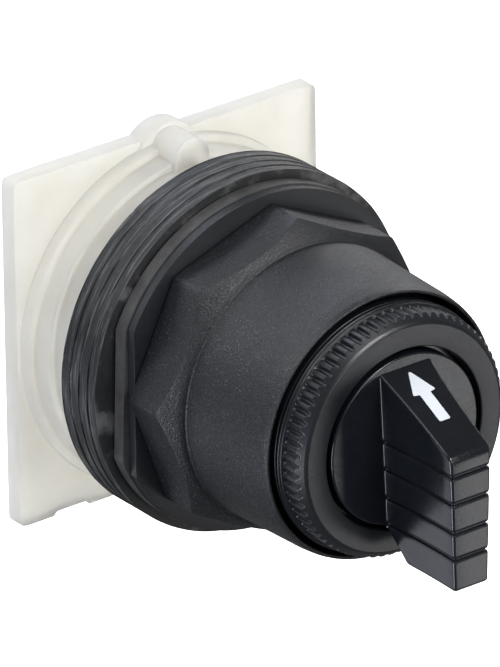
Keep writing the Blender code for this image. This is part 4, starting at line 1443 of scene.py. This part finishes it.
@dataclass
class Mechanism:
    """What the barrel hides: seal, rotor, detent balls, plungers and their springs, and screws."""

    plunger_x: float = 7.5
    tip_centre: float = 11.8
    spring_foot: float = 3.67
    spring_keep: float = 0.70

    def seal(self, finishes: Finishes) -> None:
        """O-ring: a circle carried round the axis."""
        turn = np.linspace(0.0, math.tau, 24, endpoint=False)
        profile = np.stack([7.55 + 0.6 * np.cos(turn), 39.1 + 0.6 * np.sin(turn)], axis=-1)
        obj = round_piece("stem_seal", profile[::-1], 160)
        settle(obj, finishes.rubber, Body.KNOB, "black_rubber", "shaft_oring")

    def plungers(self, finishes: Finishes) -> None:
        """Domed plungers with their spring collars."""
        turn = np.radians(np.linspace(90.0, 0.0, 12))
        dome = np.stack([1.5 * np.cos(turn), self.tip_centre + 1.5 * np.sin(turn)], axis=-1)
        rest = fillet(
            [(1.5, 11.0, 0.0), (1.5, 10.6, 0.15), (2.7, 10.6, 0.2), (2.7, 9.4, 0.2), (1.5, 9.4, 0.15),
             (1.5, 0.5, 0.3), (0.0, 0.5, 0.0)],
            5, closed=False,
        )
        profile = np.concatenate([dome, rest])
        for side, body in ((Side.LEFT, Body.LEFT_PLUNGER), (Side.RIGHT, Body.RIGHT_PLUNGER)):
            name = side.name.lower()
            centre = (side.value * self.plunger_x, 0.0)
            obj = round_piece(f"cam_plunger_{name}", profile, 64, centre, closed=False)
            settle(obj, finishes.acetal, body, "natural_acetal", f"plunger_{name}")

    def plunger_springs(self, finishes: Finishes) -> None:
        """Compression springs with closed end turns round the plungers.

        The wire's middle is a helix whose pitch eases to nothing over the first and last turn.
        """
        share = np.linspace(0.0, 1.0, 420)
        turns, coil = 6.5, 2.12
        rise = smooth_step(share) * 0.35 + share * 0.65
        angle = math.tau * turns * share
        for side in Side:
            name = side.name.lower()
            x = side.value * self.plunger_x + coil * np.cos(angle)
            path = np.stack([x, coil * np.sin(angle), 3.95 + 5.1 * rise], axis=-1)
            obj = swept_wire(f"return_spring_{name}", path, 0.28)
            settle(obj, finishes.steel, Body.HOUSING, "zinc_steel", f"plunger_spring_{name}")
            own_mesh(obj)

    def detents(self, finishes: Finishes) -> None:
        """Ball and spring in each pocket of the rotor, along x."""
        share = np.linspace(0.0, 1.0, 300)
        coil, ball_r, ball_out, turns = 1.05, 1.5, 9.6, 5.0
        angle = math.tau * turns * share
        turn = np.linspace(math.pi, 0.0, 40)
        for side, body in ((Side.LEFT, Body.LEFT_BALL), (Side.RIGHT, Body.RIGHT_BALL)):
            name = side.name.lower()
            out = side.value * (3.65 + 4.35 * share)
            path = np.stack([out, coil * np.cos(angle), DETENT_DEPTH + coil * np.sin(angle)], axis=-1)
            spring = swept_wire(f"pocket_spring_{name}", path, 0.24)
            settle(spring, finishes.steel, Body.KNOB, "zinc_steel", f"detent_spring_{name}")
            around = np.linspace(0.0, math.tau, 64, endpoint=False)
            ring = ball_r * np.sin(turn)[:, None]
            x = side.value * ball_out + ring * np.cos(around)[None, :]
            up = ring * np.sin(around)[None, :]
            depth = DETENT_DEPTH + np.broadcast_to(ball_r * np.cos(turn)[:, None], x.shape)
            points = np.stack([x, up, depth], axis=-1)
            ball = surface(f"steel_ball_{name}", points, closed=False)
            settle(ball, finishes.steel, body, "zinc_steel", f"detent_ball_{name}")

    def carrier_screws(self, finishes: Finishes) -> None:
        """Pan-head screws with a cross recess, their heads to the back.

        The head is a disc on a polar grid: its depth sinks by the recess's depth where the nearer
        of |x| and |up| is within the slot's half width and the radius is inside the recess.
        """
        radius = np.linspace(0.0, 1.9, 40)
        around = np.linspace(0.0, math.tau, 128, endpoint=False)
        x, up = radius[:, None] * np.cos(around), radius[:, None] * np.sin(around)
        narrow = np.minimum(np.abs(x), np.abs(up))
        cross = smooth_step((0.30 - narrow) / 0.08) * smooth_step((1.25 - radius[:, None]) / 0.12)
        dome = 0.6 + 0.12 * (radius[:, None] / 1.9) ** 2 + 0.18 * smooth_step((radius[:, None] - 1.6) / 0.3)
        head_depth = dome + 0.7 * cross
        shank_rows = np.linspace(1.95, 12.9, 110)
        wave = np.abs(((shank_rows[:, None] / 0.45 + around[None, :] / math.tau) % 1.0) * 2.0 - 1.0)
        fade = smooth_step((shank_rows[:, None] - 2.6) / 0.4)
        shank_r = 0.98 - 0.16 * wave * fade
        under = np.array([[1.9, 1.7], [1.85, 1.88], [1.0, 1.9]])
        tip = np.array([[0.55, 13.0], [0.0, 13.0]])
        full = np.ones_like(around)
        r = np.concatenate([radius[:, None] * full, under[:, :1] * full, shank_r, tip[:, :1] * full])
        d = np.concatenate([head_depth, under[:, 1:] * full, shank_rows[:, None] * full, tip[:, 1:] * full])
        for index, centre in enumerate(diagonal_places(SCREW_CIRCLE_R)):
            points = revolve(r, d, around, centre)
            obj = surface(f"cross_head_screw_{index + 1}", points, 50.0, closed=False)
            settle(obj, finishes.steel, Body.HOUSING, "zinc_steel", f"carrier_screw_{index + 1}")

    def carried_nodes(self, frame: dict[str, Any], finishes: Finishes) -> None:
        """Dress the CAD pieces whose shape stays."""
        kept = {
            "cam_rotor": finishes.acetal,
            "rotor_screw": finishes.steel,
            "plunger_carrier": finishes.satin,
        }
        for name, material in kept.items():
            dress(frame["nodes"][name], material)

    def build(self, frame: dict[str, Any], finishes: Finishes) -> None:
        """Make and dress the mechanism."""
        self.seal(finishes)
        self.plungers(finishes)
        self.plunger_springs(finishes)
        self.detents(finishes)
        self.carrier_screws(finishes)
        self.carried_nodes(frame, finishes)


# ---------------------------------------------------------------------------------------------
# Stage


NEUTRAL = (1.0, 1.0, 1.0)
COOL = (0.91, 0.96, 1.08)


@dataclass(frozen=True)
class Softbox:
    """A rectangular studio light that looks at a point of the head."""

    name: str
    azimuth: float
    elevation: float
    distance: float
    width: float
    height: float
    power: float
    colour: tuple[float, float, float]

    def make(self, target: Vector) -> None:
        """Place the light on a sphere round the target, facing it.

        Args:
            target: the point that it looks at.
        """
        data = bpy.data.lights.new(self.name, "AREA")
        data.shape = "RECTANGLE"
        data.size, data.size_y = self.width, self.height
        data.energy = self.power
        data.color = self.colour
        a, e = math.radians(self.azimuth), math.radians(self.elevation)
        away = Vector((math.sin(a) * math.cos(e), -math.cos(a) * math.cos(e), math.sin(e)))
        lamp = bpy.data.objects.new(self.name, data)
        lamp.location = target + away * self.distance
        lamp.rotation_euler = away.to_track_quat("Z", "Y").to_euler()
        lamp.visible_camera = False
        bpy.context.scene.collection.objects.link(lamp)


@dataclass
class Studio:
    """Camera, lights, world and floor."""

    azimuth: float = -37.121
    elevation: float = 26.033
    roll: float = -0.745
    distance: float = 1.338
    target: tuple[float, float, float] = (-0.00248, -0.00981, 0.00427)
    lens: float = 640.9
    floor_drop: float = 0.045
    world_grey: float = 0.16
    lights: tuple[Softbox, ...] = (
        Softbox("key_front_top", 12.0, 44.0, 1.0, 0.40, 0.28, 6.8, NEUTRAL),
        Softbox("front_low_right", 38.0, -24.0, 0.9, 0.34, 0.30, 0.78, NEUTRAL),
        Softbox("front_mid", 10.0, 8.0, 1.0, 0.4, 0.3, 2.4, NEUTRAL),
        Softbox("back_right", 165.0, 12.0, 1.0, 0.55, 0.40, 5.2, COOL),
        Softbox("right_back", 120.0, 22.0, 1.0, 0.45, 0.40, 2.2, NEUTRAL),
        Softbox("back_top", 178.0, 46.0, 1.0, 0.5, 0.3, 1.5, COOL),
        Softbox("overhead", -60.0, 78.0, 1.0, 0.5, 0.5, 1.3, COOL),
        Softbox("back_low_left", -140.0, -26.0, 0.9, 0.45, 0.35, 0.55, COOL),
        Softbox("left_back", -150.0, 18.0, 1.0, 0.45, 0.4, 1.2, COOL),
        Softbox("left_low", -80.0, -20.0, 1.0, 0.5, 0.5, 6.4, COOL),
        Softbox("left_top", -110.0, 50.0, 1.0, 0.5, 0.4, 4.4, NEUTRAL),
    )

    def camera(self) -> None:
        """Long-lens camera at the head's usual three-quarter view."""
        a, e = math.radians(self.azimuth), math.radians(self.elevation)
        back = Vector((math.sin(a) * math.cos(e), -math.cos(a) * math.cos(e), math.sin(e)))
        right = (-back).cross(Vector((0.0, 0.0, 1.0))).normalized()
        up = right.cross(-back)
        roll = Matrix.Rotation(math.radians(-self.roll), 3, "Z").transposed()
        turn = Matrix((right, up, back)).transposed() @ roll
        data = bpy.data.cameras.new("camera")
        data.lens = self.lens
        data.clip_start, data.clip_end = 0.05, 20.0
        camera = bpy.data.objects.new("camera", data)
        camera.matrix_world = Matrix.Translation(Vector(self.target) + back * self.distance) @ turn.to_4x4()
        bpy.context.scene.collection.objects.link(camera)
        bpy.context.scene.camera = camera

    def world(self) -> None:
        """Even grey surroundings."""
        world = bpy.data.worlds.new("studio")
        world.use_nodes = True
        bpy.context.scene.world = world
        tree = world.node_tree
        tree.nodes["Background"].inputs["Color"].default_value = (1.0, 1.0, 1.0, 1.0)
        tree.nodes["Background"].inputs["Strength"].default_value = self.world_grey

    def floor(self) -> None:
        """Pale floor well below the head, wide enough to fill the view."""
        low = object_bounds()[0].z - self.floor_drop
        half = 4.0
        points = [(-half, -half, low), (half, -half, low), (half, half, low), (-half, half, low)]
        mesh = bpy.data.meshes.new("floor")
        mesh.from_pydata(points, [], [(0, 1, 2, 3)])
        floor = bpy.data.objects.new("floor", mesh)
        bpy.context.scene.collection.objects.link(floor)
        g = Graph("pale_floor")
        g.set(Base_Color=srgb("#f4f4f4"), Roughness=0.9)
        g.set(Emission_Color=(1.0, 1.0, 1.0, 1.0), Emission_Strength=0.75)
        dress(floor, g.material)
        floor.visible_diffuse = False
        floor.visible_glossy = False
        floor.visible_shadow = False
        floor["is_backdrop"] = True

    def build(self) -> None:
        """Set up the studio."""
        self.camera()
        self.world()
        self.floor()
        for light in self.lights:
            light.make(Vector(self.target))
        bpy.context.scene.view_settings.view_transform = "Standard"


def corners(box: tuple[Vector, Vector]) -> list[list[float]]:
    """A box's two corners as plain lists."""
    return [list(corner) for corner in box]


def main() -> None:
    """Load the frame, build each sub-assembly and the studio."""
    logging.basicConfig(level=logging.INFO, format="%(name)s: %(message)s")
    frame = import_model()
    finishes = Finishes()
    MountingBase().build(finishes)
    Barrel().build(finishes)
    BezelRing().build(finishes)
    ClampStack().build(finishes)
    RingNut().build(finishes)
    Knob().build(finishes)
    Mechanism().build(frame, finishes)
    Studio().build()


if __name__ == "__main__":
    main()
